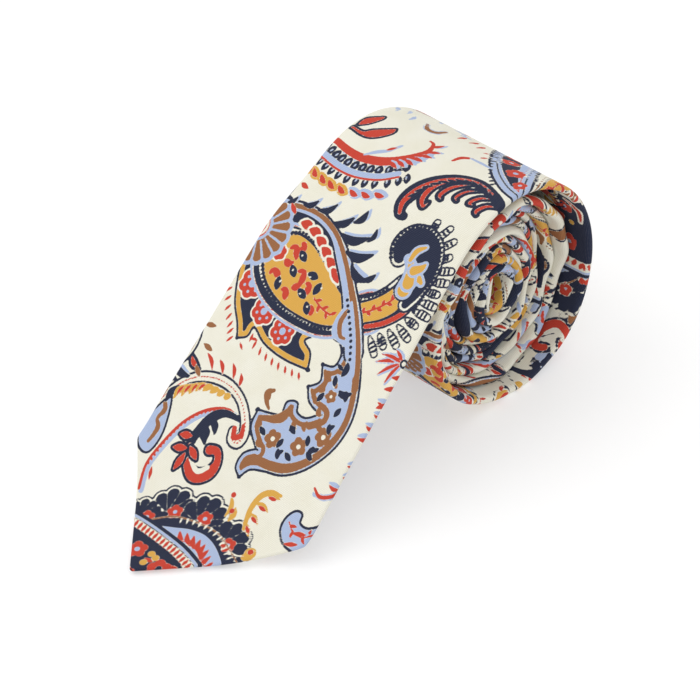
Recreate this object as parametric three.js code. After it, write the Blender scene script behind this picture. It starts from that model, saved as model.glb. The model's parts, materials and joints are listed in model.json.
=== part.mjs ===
// A necktie rolled up from its narrow end, with the wide end of its blade lying free in front of the roll.
//
// The tie is a long flat tube of printed cotton folded round a soft interlining. Its back edges meet
// along the centre, where a slip stitch runs between them, and a thin lining called tipping closes each
// pointed end. The shell is cut as three pieces, blade, neck and tail, joined by two seams.
//
// Frame: X runs along the axis of the roll, Y away from the free end, Z up. The origin is the middle of
// the flat patch that the roll rests on. Every layer is placed by s, the distance along the tie from the
// blade's apex, and by its depth behind the printed front face. The front face is the outer face of the
// roll.
import * as THREE from "three";

// ---- Driving sizes, in millimetres ----
const LENGTH = 1480;
const BLADE_WIDTH = 75;
const NECK_WIDTH = 36;
const TAIL_WIDTH = 44;
const NECK_START = 800; // where the blade's taper ends
const NECK_END = 950; // where the tail starts to widen

const SHELL = 0.35; // thickness of the printed cotton
const INTERLINING = 1.0;
const TIPPING = 0.2;
const CLEARANCE = 0.25; // between layers that touch in the real tie
const LINING_INSET = 1; // between the inner layers' sides and the fold of the shell

const ROLL_GAP = 0.4; // between one turn and the next
const CORE_RADIUS = 4.5; // of the hole in the middle of the roll
const FIRST_TURN_DROP = 5.0; // the outer turn is loose: how far it sinks in going round once
const FACETS = 16; // flat steps in one turn
const TAIL_DRIFT = 4; // the inner turns stand out towards +X

const FLAP_SLOPE = THREE.MathUtils.degToRad(38); // of the free end below the roll
const FLAP_BEND_RADIUS = 44; // where the free end flattens onto the table
const FLAP_FLAT = 18; // length that lies flat at the apex
const SPLIT_GAP = 0.3; // between the rolled and the free part of the blade, at the hinge line

const HEM = 10; // width of the folded edge beside the tipping
const SEAM_SLOT = 1.4; // between the two back edges, where the slip stitch runs
const THREAD_WIDTH = 0.7;
const THREAD_HEIGHT = 0.3;
const BLADE_HEMS_MEET = 125; // s at which the blade's back edges come together
const BLADE_TIPPING_END = 150;
const TAIL_HEMS_MEET = 70; // the same, from the tail's apex
const TAIL_TIPPING_END = 85;
const BLUNT = 1.5; // half width of the shell at an apex
const LINING_START = 5; // how far the inner layers stop short of an apex

const NECK_SEAM = 640;
const TAIL_SEAM = 1010;
const SEAM_OPENING = 1.2; // along the tie, filled by the seam's thread

const KEEPER_AT = 188; // s at the keeper loop's lower edge
const KEEPER_HEIGHT = 12; // along the tie
const KEEPER_SPAN = 50; // across the tie
const KEEPER_THICK = 0.5;
const KEEPER_ROOM = 0.8; // behind the tie, inside the loop
const KEEPER_TAB = 6;
const STITCH_WIDTH = 1;

const TACK_HEIGHT = 1.4; // along the tie
const TACK_OFFSET = 12; // from the point where the hems meet, down their V

// ---- Layers, as depths behind the front face ----
const interliningFront = SHELL + CLEARANCE;
const interliningBack = interliningFront + INTERLINING;
const tippingFront = interliningBack + CLEARANCE;
const tippingBack = tippingFront + TIPPING;
const plainHemFront = interliningBack + CLEARANCE;
const linedHemFront = tippingBack + CLEARANCE;
const plainThickness = plainHemFront + SHELL;
const linedThickness = linedHemFront + SHELL;
const pitch = linedThickness + ROLL_GAP;

const { lerp, clamp } = THREE.MathUtils;

// The share of the way from a to b, held between 0 and 1.
const share = (x, a, b) => clamp((x - a) / (b - a), 0, 1);

// Half the tie's width. Both ends are right-angled points.
function halfWidth(s) {
  const blade = BLADE_WIDTH / 2;
  const neck = NECK_WIDTH / 2;
  const tail = TAIL_WIDTH / 2;
  const fromTail = LENGTH - s;
  const body =
    s < NECK_END
      ? lerp(blade, neck, share(s, blade, NECK_START))
      : lerp(neck, tail, share(s, NECK_END, LENGTH - tail));
  return Math.max(BLUNT, Math.min(body, s, fromTail));
}

// How far the middle of the tie lies from X = 0.
function drift(s) {
  return TAIL_DRIFT * share(s, NECK_START / 2, LENGTH);
}

// The back face is deeper over the tipping.
function hemFront(s) {
  const lined = Math.max(
    share(s, BLADE_TIPPING_END + KEEPER_HEIGHT, BLADE_TIPPING_END),
    share(s, LENGTH - TAIL_TIPPING_END - KEEPER_HEIGHT, LENGTH - TAIL_TIPPING_END),
  );
  return lerp(plainHemFront, linedHemFront, lined);
}

// Half the opening between the two back edges: a V over the tipping, then a slot.
function halfSlot(s) {
  const half = halfWidth(s);
  const slot = SEAM_SLOT / 2;
  const open = Math.max(0, half - SHELL - HEM);
  const bladeV = 1 - share(s, BLADE_WIDTH / 2, BLADE_HEMS_MEET);
  const tailV = 1 - share(LENGTH - s, TAIL_WIDTH / 2, TAIL_HEMS_MEET);
  const most = half - SHELL - SEAM_SLOT / 4;
  return Math.min(most, Math.max(slot, open * Math.max(bladeV, tailV)));
}

// ---- The route of the front face, as a chain of straight steps ----

// How far the front face has sunk towards the centre by vertex k of the spiral. It doesn't sink across
// the bottom facet, so that facet is level.
function sunk(k) {
  const facets = k - 0.5;
  const turn = Math.floor((facets + FACETS / 2) / FACETS);
  const bottoms = clamp(facets - (turn * FACETS - FACETS / 2 - 0.5), 0, 1);
  const whole = Math.max(0, turn - 1) + (turn > 0 ? bottoms : 0);
  const steps = (facets - whole) / (FACETS - 1);
  return Math.min(steps, 1) * FIRST_TURN_DROP + Math.max(0, steps - 1) * pitch;
}

// Vertices of the spiral, clockwise from the top as seen from +X, as far as the core.
function spiral(ridgeRadius) {
  const points = [{ radius: ridgeRadius, angle: Math.PI / 2 }];
  for (let k = 1; ; k++) {
    const radius = ridgeRadius - sunk(k);
    if (radius < CORE_RADIUS) break;
    points.push({ radius, angle: Math.PI / 2 - ((k - 0.5) * 2 * Math.PI) / FACETS });
  }
  return points;
}

function route(ridgeRadius) {
  const coil = spiral(ridgeRadius);
  const bottom = coil[FACETS / 2];
  const centreZ = -bottom.radius * Math.sin(bottom.angle);
  const onRoll = ({ radius, angle }) => ({
    y: radius * Math.cos(angle),
    z: centreZ + radius * Math.sin(angle),
    ny: Math.cos(angle),
    nz: Math.sin(angle),
  });
  const flap = [];
  const ridgeSteps = 4;
  for (let i = ridgeSteps; i >= 1; i--) {
    flap.push(onRoll({ radius: ridgeRadius, angle: Math.PI / 2 + (i / ridgeSteps) * FLAP_SLOPE }));
  }
  const leaves = flap[0];
  const bendHeight = FLAP_BEND_RADIUS * (1 - Math.cos(FLAP_SLOPE));
  const fall = leaves.z - linedThickness - bendHeight;
  const bendTop = leaves.y - fall / Math.tan(FLAP_SLOPE);
  const bendFoot = bendTop - FLAP_BEND_RADIUS * Math.sin(FLAP_SLOPE);
  const bend = [];
  const bendSteps = 4;
  for (let i = 0; i <= bendSteps; i++) {
    const slope = (i / bendSteps) * FLAP_SLOPE;
    bend.push({
      y: bendFoot + FLAP_BEND_RADIUS * Math.sin(slope),
      z: linedThickness + FLAP_BEND_RADIUS * (1 - Math.cos(slope)),
      ny: -Math.sin(slope),
      nz: Math.cos(slope),
    });
  }
  const apex = { y: bendFoot - FLAP_FLAT, z: linedThickness, ny: 0, nz: 1 };
  const points = [apex, ...bend, ...flap, ...coil.map(onRoll)];
  let s = 0;
  points.forEach((p, i) => {
    if (i > 0) s += Math.hypot(p.y - points[i - 1].y, p.z - points[i - 1].z);
    p.s = s;
  });
  return { points, hingeS: points[bend.length + flap.length + 1].s, top: centreZ + ridgeRadius };
}

// The roll is as large as the tie's length makes it.
function ridgeRadiusFor(length) {
  let low = CORE_RADIUS + FIRST_TURN_DROP;
  let high = length / 4;
  for (let i = 0; i < 50; i++) {
    const middle = (low + high) / 2;
    if (route(middle).points.at(-1).s < length) low = middle;
    else high = middle;
  }
  return high;
}

const { points: vertices, hingeS, top: hingeZ } = route(ridgeRadiusFor(LENGTH));

// The route at s. Between two vertices the position and the normal are both mixed, so each layer stays
// flat there.
function station(s) {
  const i = clamp(vertices.findIndex((v) => v.s > s), 1, vertices.length - 1);
  const a = vertices[i - 1];
  const b = vertices[i];
  const t = (s - a.s) / (b.s - a.s);
  const mix = (key) => lerp(a[key], b[key], t);
  return { s, y: mix("y"), z: mix("z"), ny: mix("ny"), nz: mix("nz") };
}

// Every station of a layer from s = from to s = to: its two ends, the route's vertices and the listed
// extra places.
function stations(from, to, extra = []) {
  const places = [...vertices.map((v) => v.s), ...extra];
  const inside = places.filter((s) => s > from + 0.05 && s < to - 0.05);
  return [from, ...inside.sort((a, b) => a - b), to].map(station);
}

// ---- Solids ----

// A solid swept along the stations. section(s) gives its outline as [across, depth] pairs, always the
// same number.
function sweep(path, section) {
  const rings = path.map((p) =>
    section(p.s).map(([across, depth]) => {
      const x = drift(p.s) + across;
      return new THREE.Vector3(x, p.y - depth * p.ny, p.z - depth * p.nz);
    }),
  );
  const count = rings[0].length;
  const triangles = [];
  for (let i = 0; i + 1 < rings.length; i++) {
    for (let j = 0; j < count; j++) {
      const k = (j + 1) % count;
      triangles.push(rings[i][j], rings[i][k], rings[i + 1][k]);
      triangles.push(rings[i][j], rings[i + 1][k], rings[i + 1][j]);
    }
  }
  const capOf = (p) => {
    const outline = section(p.s).map(([across, depth]) => new THREE.Vector2(across, depth));
    return THREE.ShapeUtils.triangulateShape(outline, []);
  };
  const first = rings[0];
  const last = rings.at(-1);
  for (const [a, b, c] of capOf(path[0])) triangles.push(first[a], first[c], first[b]);
  for (const [a, b, c] of capOf(path.at(-1))) triangles.push(last[a], last[b], last[c]);
  return new THREE.BufferGeometry().setFromPoints(triangles);
}

// The printed shell: front face, folded sides and two back edges.
const shellSection = (s) => {
  const out = halfWidth(s);
  const inn = out - SHELL;
  const slot = halfSlot(s);
  const front = hemFront(s);
  const back = front + SHELL;
  return [
    [-out, 0],
    [out, 0],
    [out, back],
    [slot, back],
    [slot, front],
    [inn, front],
    [inn, SHELL],
    [-inn, SHELL],
    [-inn, front],
    [-slot, front],
    [-slot, back],
    [-out, back],
  ];
};

// A flat layer between two depths, filling the shell's width or a given half width.
const layer = (front, back, half) => (s) => {
  const h = half ?? halfWidth(s) - SHELL - LINING_INSET;
  return [
    [-h, front(s)],
    [h, front(s)],
    [h, back(s)],
    [-h, back(s)],
  ];
};

const at = (depth) => () => depth;
const interliningSection = layer(at(interliningFront), at(interliningBack));
const tippingSection = layer(at(tippingFront), at(tippingBack));
const threadSection = layer(hemFront, (s) => hemFront(s) + THREAD_HEIGHT, THREAD_WIDTH / 2);
const seamSection = (s) => layer(at(0), at(SHELL), halfWidth(s) - SHELL)(s);

// A bar tack bridges the V between the two hems.
const tackSection = (s) => layer(hemFront, (d) => hemFront(d) + SHELL, halfSlot(s) - CLEARANCE)(s);

// The keeper is a flat loop: its two ends are sewn down and its middle stands clear of the tie.
const keeperSection = (s) => {
  const base = hemFront(s) + SHELL + CLEARANCE;
  const inner = base + KEEPER_ROOM;
  const outer = inner + KEEPER_THICK;
  const end = KEEPER_SPAN / 2;
  const bar = end - KEEPER_TAB;
  return [
    [-end, base],
    [-bar, base],
    [-bar, inner],
    [bar, inner],
    [bar, base],
    [end, base],
    [end, outer],
    [-end, outer],
  ];
};

const stitchSection = (side) => (s) => {
  const base = hemFront(s) + SHELL + CLEARANCE;
  const near = side * (KEEPER_SPAN / 2 + CLEARANCE);
  const far = near + side * STITCH_WIDTH;
  const [left, right] = side > 0 ? [near, far] : [far, near];
  return [
    [left, base],
    [right, base],
    [right, base + KEEPER_ROOM],
    [left, base + KEEPER_ROOM],
  ];
};

// ---- Materials ----
const cloth = (color, roughness = 0.9) => new THREE.MeshStandardMaterial({ color, roughness, metalness: 0 });
const printedCotton = cloth("#ece8d8");
const wadding = cloth("#d9d4c6", 1);
const lining = cloth("#1f2a4d", 0.6);
const thread = cloth("#f1eddd", 0.7);
const navyThread = cloth("#1d2744", 0.7);

// ---- The tie ----
const tie = new THREE.Group();
function add(name, geometry, material) {
  const mesh = new THREE.Mesh(geometry, material);
  mesh.name = name;
  tie.add(mesh);
}

const freeEnd = hingeS - SPLIT_GAP / 2;
const rolledStart = hingeS + SPLIT_GAP / 2;
const halfSeam = SEAM_OPENING / 2;
const bladeCorner = BLADE_WIDTH / 2;
const tailCorner = LENGTH - TAIL_WIDTH / 2;
const bladeHemStart = bladeCorner - HEM;
const tailHemEnd = tailCorner + HEM;
const bladePlaces = [BLUNT, bladeHemStart, bladeCorner, BLADE_HEMS_MEET];
const tailPlaces = [LENGTH - TAIL_HEMS_MEET, tailCorner, tailHemEnd];
const neckPlaces = [NECK_START, NECK_END];
const tailLast = vertices.at(-1).s - CLEARANCE;
const innerLast = tailLast - LINING_START;

add("blade_shell_free_end", sweep(stations(BLUNT, freeEnd, bladePlaces), shellSection), printedCotton);
add("blade_shell_rolled", sweep(stations(rolledStart, NECK_SEAM - halfSeam), shellSection), printedCotton);
const neckStations = stations(NECK_SEAM + halfSeam, TAIL_SEAM - halfSeam, neckPlaces);
add("neck_shell", sweep(neckStations, shellSection), printedCotton);
const tailStations = stations(TAIL_SEAM + halfSeam, tailLast - BLUNT, tailPlaces);
add("tail_shell", sweep(tailStations, shellSection), printedCotton);

const seamHalf = halfSeam - CLEARANCE;
for (const [name, s] of [["neck_seam_thread", NECK_SEAM], ["tail_seam_thread", TAIL_SEAM]]) {
  add(name, sweep(stations(s - seamHalf, s + seamHalf), seamSection), thread);
}

const freeWool = stations(LINING_START, freeEnd, [bladeCorner]);
add("blade_interlining_free_end", sweep(freeWool, interliningSection), wadding);
add("blade_interlining_rolled", sweep(stations(rolledStart, TAIL_SEAM), interliningSection), wadding);
const tailWool = stations(TAIL_SEAM + SPLIT_GAP, innerLast, [tailCorner]);
add("tail_interlining", sweep(tailWool, interliningSection), wadding);

add("blade_tipping", sweep(stations(LINING_START, BLADE_TIPPING_END, [bladeCorner]), tippingSection), lining);
const tailTippingStart = LENGTH - TAIL_TIPPING_END;
add("tail_tipping", sweep(stations(tailTippingStart, innerLast, [tailCorner]), tippingSection), lining);

add("slip_stitch_free_end", sweep(stations(BLADE_HEMS_MEET, freeEnd), threadSection), thread);
add("slip_stitch_rolled", sweep(stations(rolledStart, LENGTH - TAIL_HEMS_MEET), threadSection), thread);

const bladeTack = BLADE_HEMS_MEET - TACK_OFFSET;
const tailTack = LENGTH - TAIL_HEMS_MEET + TACK_OFFSET;
for (const [name, s] of [["blade_bar_tack", bladeTack], ["tail_bar_tack", tailTack]]) {
  add(name, sweep(stations(s, s + TACK_HEIGHT), tackSection), navyThread);
}

const keeperPath = stations(KEEPER_AT, KEEPER_AT + KEEPER_HEIGHT);
add("keeper_loop", sweep(keeperPath, keeperSection), printedCotton);
add("keeper_stitch_near", sweep(keeperPath, stitchSection(1)), navyThread);
add("keeper_stitch_far", sweep(keeperPath, stitchSection(-1)), navyThread);

export default tie;
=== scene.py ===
# %% [markdown]
# # A rolled-up necktie
# The real object is one long, flat tube of printed cotton. It is rolled up from its narrow end, and
# the pointed wide end slopes down from the top of the roll to the table. This notebook loads the
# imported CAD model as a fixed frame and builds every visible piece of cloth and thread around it.
# Almost everything is a grid of points, because a tie is a flat thing that is only bent: each point
# knows its place in the flat cloth.

# %% Load the frame
import json
import math
import bpy
import numpy as np
from mathutils import Matrix, Vector


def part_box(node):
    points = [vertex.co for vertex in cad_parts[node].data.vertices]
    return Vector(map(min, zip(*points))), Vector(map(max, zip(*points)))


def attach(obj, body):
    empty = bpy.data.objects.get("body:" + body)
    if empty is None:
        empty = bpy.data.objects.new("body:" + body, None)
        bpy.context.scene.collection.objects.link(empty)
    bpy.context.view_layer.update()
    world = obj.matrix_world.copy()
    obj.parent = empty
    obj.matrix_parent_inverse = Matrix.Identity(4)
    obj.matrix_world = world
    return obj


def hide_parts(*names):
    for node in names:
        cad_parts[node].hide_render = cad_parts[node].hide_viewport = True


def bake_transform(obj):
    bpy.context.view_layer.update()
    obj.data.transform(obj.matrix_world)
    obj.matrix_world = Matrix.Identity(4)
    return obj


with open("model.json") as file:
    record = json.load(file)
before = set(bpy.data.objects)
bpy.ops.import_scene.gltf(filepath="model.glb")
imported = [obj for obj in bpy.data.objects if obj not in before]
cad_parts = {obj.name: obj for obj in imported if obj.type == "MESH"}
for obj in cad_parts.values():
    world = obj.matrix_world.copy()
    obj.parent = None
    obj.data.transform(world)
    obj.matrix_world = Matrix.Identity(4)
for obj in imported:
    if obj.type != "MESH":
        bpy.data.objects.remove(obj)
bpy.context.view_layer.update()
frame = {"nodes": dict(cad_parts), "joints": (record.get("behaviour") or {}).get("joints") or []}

MM = 0.001
print("nodes:", sorted(frame["nodes"]))

# %% [markdown]
# ## The sizes that everything follows
# The sizes that the CAD model fixes are read from it: the blade's width, the height of the hinge
# line and the place of the apex. The others describe how the cloth hangs and how thick it is. A
# real tie is 2 to 3 mm thick, because two layers of cotton lie on each side of a soft interlining.
# All of them are in millimetres.

# %% Sizes
free_low, free_high = (np.array(c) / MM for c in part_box("blade_shell_free_end"))
HINGE_Z = frame["joints"][0]["pos_m"][2] / MM
BLADE_WIDTH = free_high[0] - free_low[0]
LENGTH = 1480
NECK_WIDTH = 36
TAIL_WIDTH = 44
NECK_START, NECK_END = 800, 950
NECK_SEAM, TAIL_SEAM = 640, 1010
FREE_THICKNESS = 2.3  # of the folded tie where it lies pressed flat
ROLL_THICKNESS = 2.8  # and in the loose roll
PRESSED_FOLD = 1.3  # at the ironed folds of the free end
FOLD_RAMP = 9  # from a fold in to the full thickness
CURL_FROM, CURL_RADIUS = 28.5, 3.6  # where and how tightly the far fold rolls under at the ridge
BLADE_HEMS_MEET, TAIL_HEMS_MEET = 125, 70
BLADE_TIPPING_END, TAIL_TIPPING_END = 150, 85
KEEPER_AT, KEEPER_HEIGHT, KEEPER_SPAN = 188, 12, 50
TACK_OFFSET, TACK_HEIGHT = 12, 1.4

FLAP_SLOPE = math.radians(38)
BEND_RADIUS = 44
FLAP_FLAT = 15
LOOSE_DROP = 5.0  # how far the loose outer turn sinks in going round once
CORE_RADIUS = 3.6
CORE_SQUASH = 1.2  # the core is pressed out of round by this much
RIDGE_RADIUS = (HINGE_Z + LOOSE_DROP / 2) / 2
# the outer turn stands off the roll behind the ridge, more at the far side
STAND_OFF, FAR_STAND_OFF = 2.3, 0.7

SKEW = 0.007  # the free end lies a little askew
RIDGE_X = -2.0
OUTER_DRIFT = 3.0  # the loose outer turn works its way out towards the near end
INNER_DRIFT = 6.0
print(f"blade {BLADE_WIDTH:.1f} mm wide, hinge line {HINGE_Z:.1f} mm up")
print(f"ridge radius {RIDGE_RADIUS:.1f} mm")


# %% [markdown]
# ## The line that the tie follows
# Everything is placed along one line, the middle of the printed face, seen from the side. From the
# apex it lies flat on the table, bends up, climbs straight to the ridge and then winds inwards.
# Describing the slope and adding it up gives a line whose length is right by construction, and
# cloth hardly stretches, so the length matters.

# %% The line
def smooth(x, a, b):
    """0 below a, 1 above b and an S-shaped curve between them."""
    t = np.clip((x - a) / (b - a), 0, 1)
    return t * t * (3 - 2 * t)


def free_line():
    """Distance from the apex, y and z down to the ridge. y and z are the running sums of the
    slope's cosine and sine, and the slope is 0 on the table, rises evenly round the bend, stays,
    and falls evenly over the ridge."""
    turned = 1 - math.cos(FLAP_SLOPE)
    climb = HINGE_Z - FREE_THICKNESS - (RIDGE_RADIUS + BEND_RADIUS) * turned
    lengths = [FLAP_FLAT, BEND_RADIUS * FLAP_SLOPE, climb / math.sin(FLAP_SLOPE),
               RIDGE_RADIUS * FLAP_SLOPE]
    knots = np.concatenate([[0], np.cumsum(lengths)])
    s = np.linspace(0, knots[-1], 1200)
    slope = np.interp((s[1:] + s[:-1]) / 2, knots, [0, 0, FLAP_SLOPE, FLAP_SLOPE, 0])
    step = np.diff(s)
    y = np.concatenate([[0], np.cumsum(np.cos(slope) * step)])
    z = np.concatenate([[0], np.cumsum(np.sin(slope) * step)])
    return s, y - y[-1], z + HINGE_Z - z[-1]


def turn_radius(angle, pitch):
    """The outer turn sinks by LOOSE_DROP, and the tight turns inside it by one pitch each. Further
    in, the circle is more and more out of round. The change from one turn to the next stays small,
    so that turns never cross."""
    turn = angle / (2 * np.pi)
    radius = RIDGE_RADIUS - LOOSE_DROP * np.minimum(turn, 1) - pitch * np.maximum(turn - 1, 0)
    uneven = 0.020 * np.sin(2 * angle + 1.0) + 0.012 * np.sin(3 * angle + 2.1) + 0.007 * np.sin(5 * angle)
    radius = radius * (1 + uneven * smooth(turn, 0.7, 1.3))
    return radius + CORE_SQUASH * np.cos(2 * angle - 1.2) * smooth(turn, 3, 10)


def rolled_line(start):
    """Distance, y and z round the roll. The pitch is the one with which the rest of the tie just
    fills the roll: the area of the tight part divided by the length in it."""
    tight = RIDGE_RADIUS - LOOSE_DROP
    outer_turn = 2 * np.pi * (RIDGE_RADIUS - LOOSE_DROP / 2)
    pitch = np.pi * (tight**2 - CORE_RADIUS**2) / (LENGTH - start - outer_turn)
    turns = 1 + (tight - CORE_RADIUS) / pitch
    angle = np.linspace(0, turns * 2 * np.pi, 9000)
    radius = turn_radius(angle, pitch)
    y = radius * np.sin(angle)
    z = HINGE_Z - RIDGE_RADIUS + radius * np.cos(angle)
    s = start + np.concatenate([[0], np.cumsum(np.hypot(np.diff(y), np.diff(z)))])
    return s, y, z, pitch


free_s, free_y, free_z = free_line()
HINGE_S = free_s[-1]
roll_s, roll_y, roll_z, PITCH = rolled_line(HINGE_S)
line_s = np.concatenate([free_s, roll_s[1:]])
line_y = np.concatenate([free_y, roll_y[1:]])
line_z = np.concatenate([free_z, roll_z[1:]])
line_ny = -np.gradient(line_z, line_s)
line_nz = np.gradient(line_y, line_s)
TAIL_END = line_s[-1]
print(f"hinge at {HINGE_S:.1f} mm, apex at y {free_y[0]:.1f} (CAD {free_low[1]:.1f})")
print(f"pitch of the tight turns {PITCH:.2f} mm, end of the tail at {TAIL_END:.0f} mm")


# %% [markdown]
# ## The width, and how the tube is folded
# A tie is widest at the two corners near its point and narrows evenly to its neck. Both ends come
# to a right-angled point. Across the tie the cloth runs from the middle of the back, round one
# fold, over the front, round the other fold and back to the middle. The place in the flat cloth,
# `q`, is followed all the way, because the print needs it.

# %% Width and folds
def thickness(s):
    return FREE_THICKNESS + (ROLL_THICKNESS - FREE_THICKNESS) * smooth(s, HINGE_S - 30, HINGE_S + 60)


def fold_thickness(s):
    return PRESSED_FOLD + (ROLL_THICKNESS - PRESSED_FOLD) * smooth(s, HINGE_S - 30, HINGE_S + 60)


def back_depth(s, u):
    """Depth of the back face: thin at the folds, and thicker towards the middle."""
    inwards = smooth(half_width(s) - np.abs(u), fold_thickness(s) / 2, FOLD_RAMP)
    return fold_thickness(s) + (thickness(s) - fold_thickness(s)) * inwards


def half_width(s):
    """Half the tie's width. The pointed ends are 45 degree lines, and a small sum of squares rounds
    the corners."""
    places = [BLADE_WIDTH / 2, NECK_START, NECK_END, LENGTH]
    body = np.interp(s, places, [BLADE_WIDTH / 2, NECK_WIDTH / 2, NECK_WIDTH / 2, TAIL_WIDTH / 2])
    point = np.minimum(s + 0.6, np.maximum(TAIL_END - s, 0) + 0.6)
    return (body + point - np.sqrt((body - point) ** 2 + 0.6)) / 2


def half_opening(s):
    """Half the gap between the two back edges: a V behind each point and a narrow slot elsewhere."""
    blade_v = 1 - np.clip((s - BLADE_WIDTH / 2) / (BLADE_HEMS_MEET - BLADE_WIDTH / 2), 0, 1)
    tail_v = 1 - np.clip((TAIL_END - s - TAIL_WIDTH / 2) / (TAIL_HEMS_MEET - TAIL_WIDTH / 2), 0, 1)
    return np.clip(np.maximum(half_width(s) - 10, 0) * np.maximum(blade_v, tail_v), 0.35, None)


def centre_x(s):
    """Where the middle of the tie lies along the roll's axis. The edges of real turns never line
    up, so they wander, and the sum of four uneven waves never repeats."""
    wander = 1.3 * np.sin(s / 27.3 + 1) + 0.6 * np.sin(s / 9.1)
    wander = wander + 0.4 * np.sin(s / 4.3 + 2) + 0.3 * np.sin(s / 2.6)
    rolled = smooth(s, HINGE_S + 60, HINGE_S + 200)
    drift = OUTER_DRIFT * smooth(s, HINGE_S + 10, HINGE_S + 110)
    drift = drift * (1 - smooth(s, HINGE_S + 200, HINGE_S + 260))
    inner = INNER_DRIFT * np.clip((s - HINGE_S - 100) / 600, 0, 1)
    return RIDGE_X + SKEW * np.maximum(HINGE_S - s, 0) + drift + inner + wander * rolled


def columns(front, fold, back):
    """The stations across the tube as (part, share) pairs. Parts: -3 and 3 hem turned in, -2 and 2
    back, -1 and 1 fold, 0 front. The share goes from 0 to 1 along each part, left to right."""
    half = [(1, t) for t in np.linspace(0, 1, fold + 1)[1:]]
    half += [(2, t) for t in np.linspace(0, 1, back + 1)[1:]]
    half += [(3, t) for t in (0.25, 0.6, 1)]
    left = [(-part, t) for part, t in reversed(half)]
    return np.array(left + [(0, t) for t in np.linspace(0, 1, front + 1)] + half)


def tube_section(s, part, t):
    """Across the tube at distance s: u to the side of the middle, depth behind the printed face,
    and the place q in the flat cloth. A fold is half an oval as thick as the tie, a little longer
    than it is high."""
    side = np.sign(part)
    width = half_width(s)
    radius = np.minimum(fold_thickness(s) / 2, width * 0.9)
    reach = np.minimum(radius * (1 + 0.35 * smooth(s, HINGE_S, HINGE_S + 60)), width * 0.9)
    flat = width - reach
    open_to = np.minimum(half_opening(s), flat)
    turned_in = np.minimum(3, 0.8 * (flat - open_to))
    kind = np.abs(part)
    angle = np.pi * t
    which = [kind == 0, kind == 1, kind == 2]
    u = np.select(
        which,
        [(2 * t - 1) * flat, flat + reach * np.sin(angle), flat + (open_to - flat) * t],
        open_to + turned_in * np.clip(t - 0.3, 0, 1),
    )
    back = 2 * radius + back_depth(s, u) - fold_thickness(s)
    depth = np.select(
        which,
        [0 * s, radius * (1 - np.cos(angle)), back],
        back - np.minimum(0.45, radius) * np.clip(t / 0.3, 0, 1),
    )
    round_fold = np.pi * (radius + reach) / 2
    q = np.select(
        which,
        [u, flat + round_fold * t, flat + round_fold + (flat - u)],
        flat + round_fold + (flat - open_to) + turned_in * t,
    )
    sign = np.where(kind == 0, 1, side)
    return u * sign, depth + fold_thickness(s) / 2 - radius, q * sign


print("half widths:", np.round(half_width(np.array([5, 37.5, HINGE_S, 400, 640, 900, 1400])), 1))


# %% [markdown]
# ## From flat cloth to its place in the roll
# One function takes any place in the tie, distance `s`, side `u` and depth, to a point in space.
# The cloth isn't perfectly flat, so a few long waves lift it by fractions of a millimetre. Just
# behind the ridge the loose outer turn stands off the turns inside it. Where the far fold passes
# over the ridge there is nothing under it, and it rolls under. Near the folds of the roll small
# puckers push the cloth in and out.

# %% Place
WAVE_HEIGHT = 0.28
PUCKER_HEIGHT, FINE_PUCKER_HEIGHT = 0.34, 0.26


def place(s, u, depth):
    """Points in metres. The line gives the middle of the printed face and its normal gives the way
    in. Waves and puckers are added to the depth, and over and behind the ridge the stand-off is
    taken from it, as the square of a sine. In the curl the cloth beyond CURL_FROM follows an arc, so
    u and depth turn by the angle travelled round it. sinc(x / pi) is sin(x) / x, which stays right
    where the arc is straight."""
    y, z = np.interp(s, line_s, line_y), np.interp(s, line_s, line_z)
    ny, nz = np.interp(s, line_s, line_ny), np.interp(s, line_s, line_nz)
    down = HINGE_S - s
    waves = WAVE_HEIGHT * np.sin(s / 13 + u / 19) * np.sin(u / 11 + s / 47 + 1)
    waves = waves * smooth(down, 0, 25) * smooth(s, 20, 60)
    stands_off = np.sin(np.pi * np.clip((s - HINGE_S + 25) / 100, 0, 1)) ** 2
    waves = waves - (STAND_OFF - FAR_STAND_OFF * u / (BLADE_WIDTH / 2)) * stands_off
    edge = smooth(np.abs(u), half_width(s) - 9, half_width(s)) * smooth(s, HINGE_S + 150, HINGE_S + 260)
    pucker = PUCKER_HEIGHT * np.sin(s / 3.7 + 2 * np.sin(s / 17))
    pucker = pucker + FINE_PUCKER_HEIGHT * np.sin(s / 7.9 + 1.3)
    depth = depth + waves + pucker * edge
    beyond = np.maximum(-u - CURL_FROM, 0)
    angle = beyond / CURL_RADIUS * smooth(down, -60, -15) * (1 - smooth(down, 5, 45))
    u = u + beyond - beyond * np.sinc(angle / np.pi) + depth * np.sin(angle)
    depth = depth * np.cos(angle) + beyond * np.sin(angle / 2) * np.sinc(angle / 2 / np.pi)
    x = centre_x(s) + u
    return np.stack([x, y - depth * ny, z - depth * nz], -1) * MM


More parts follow.
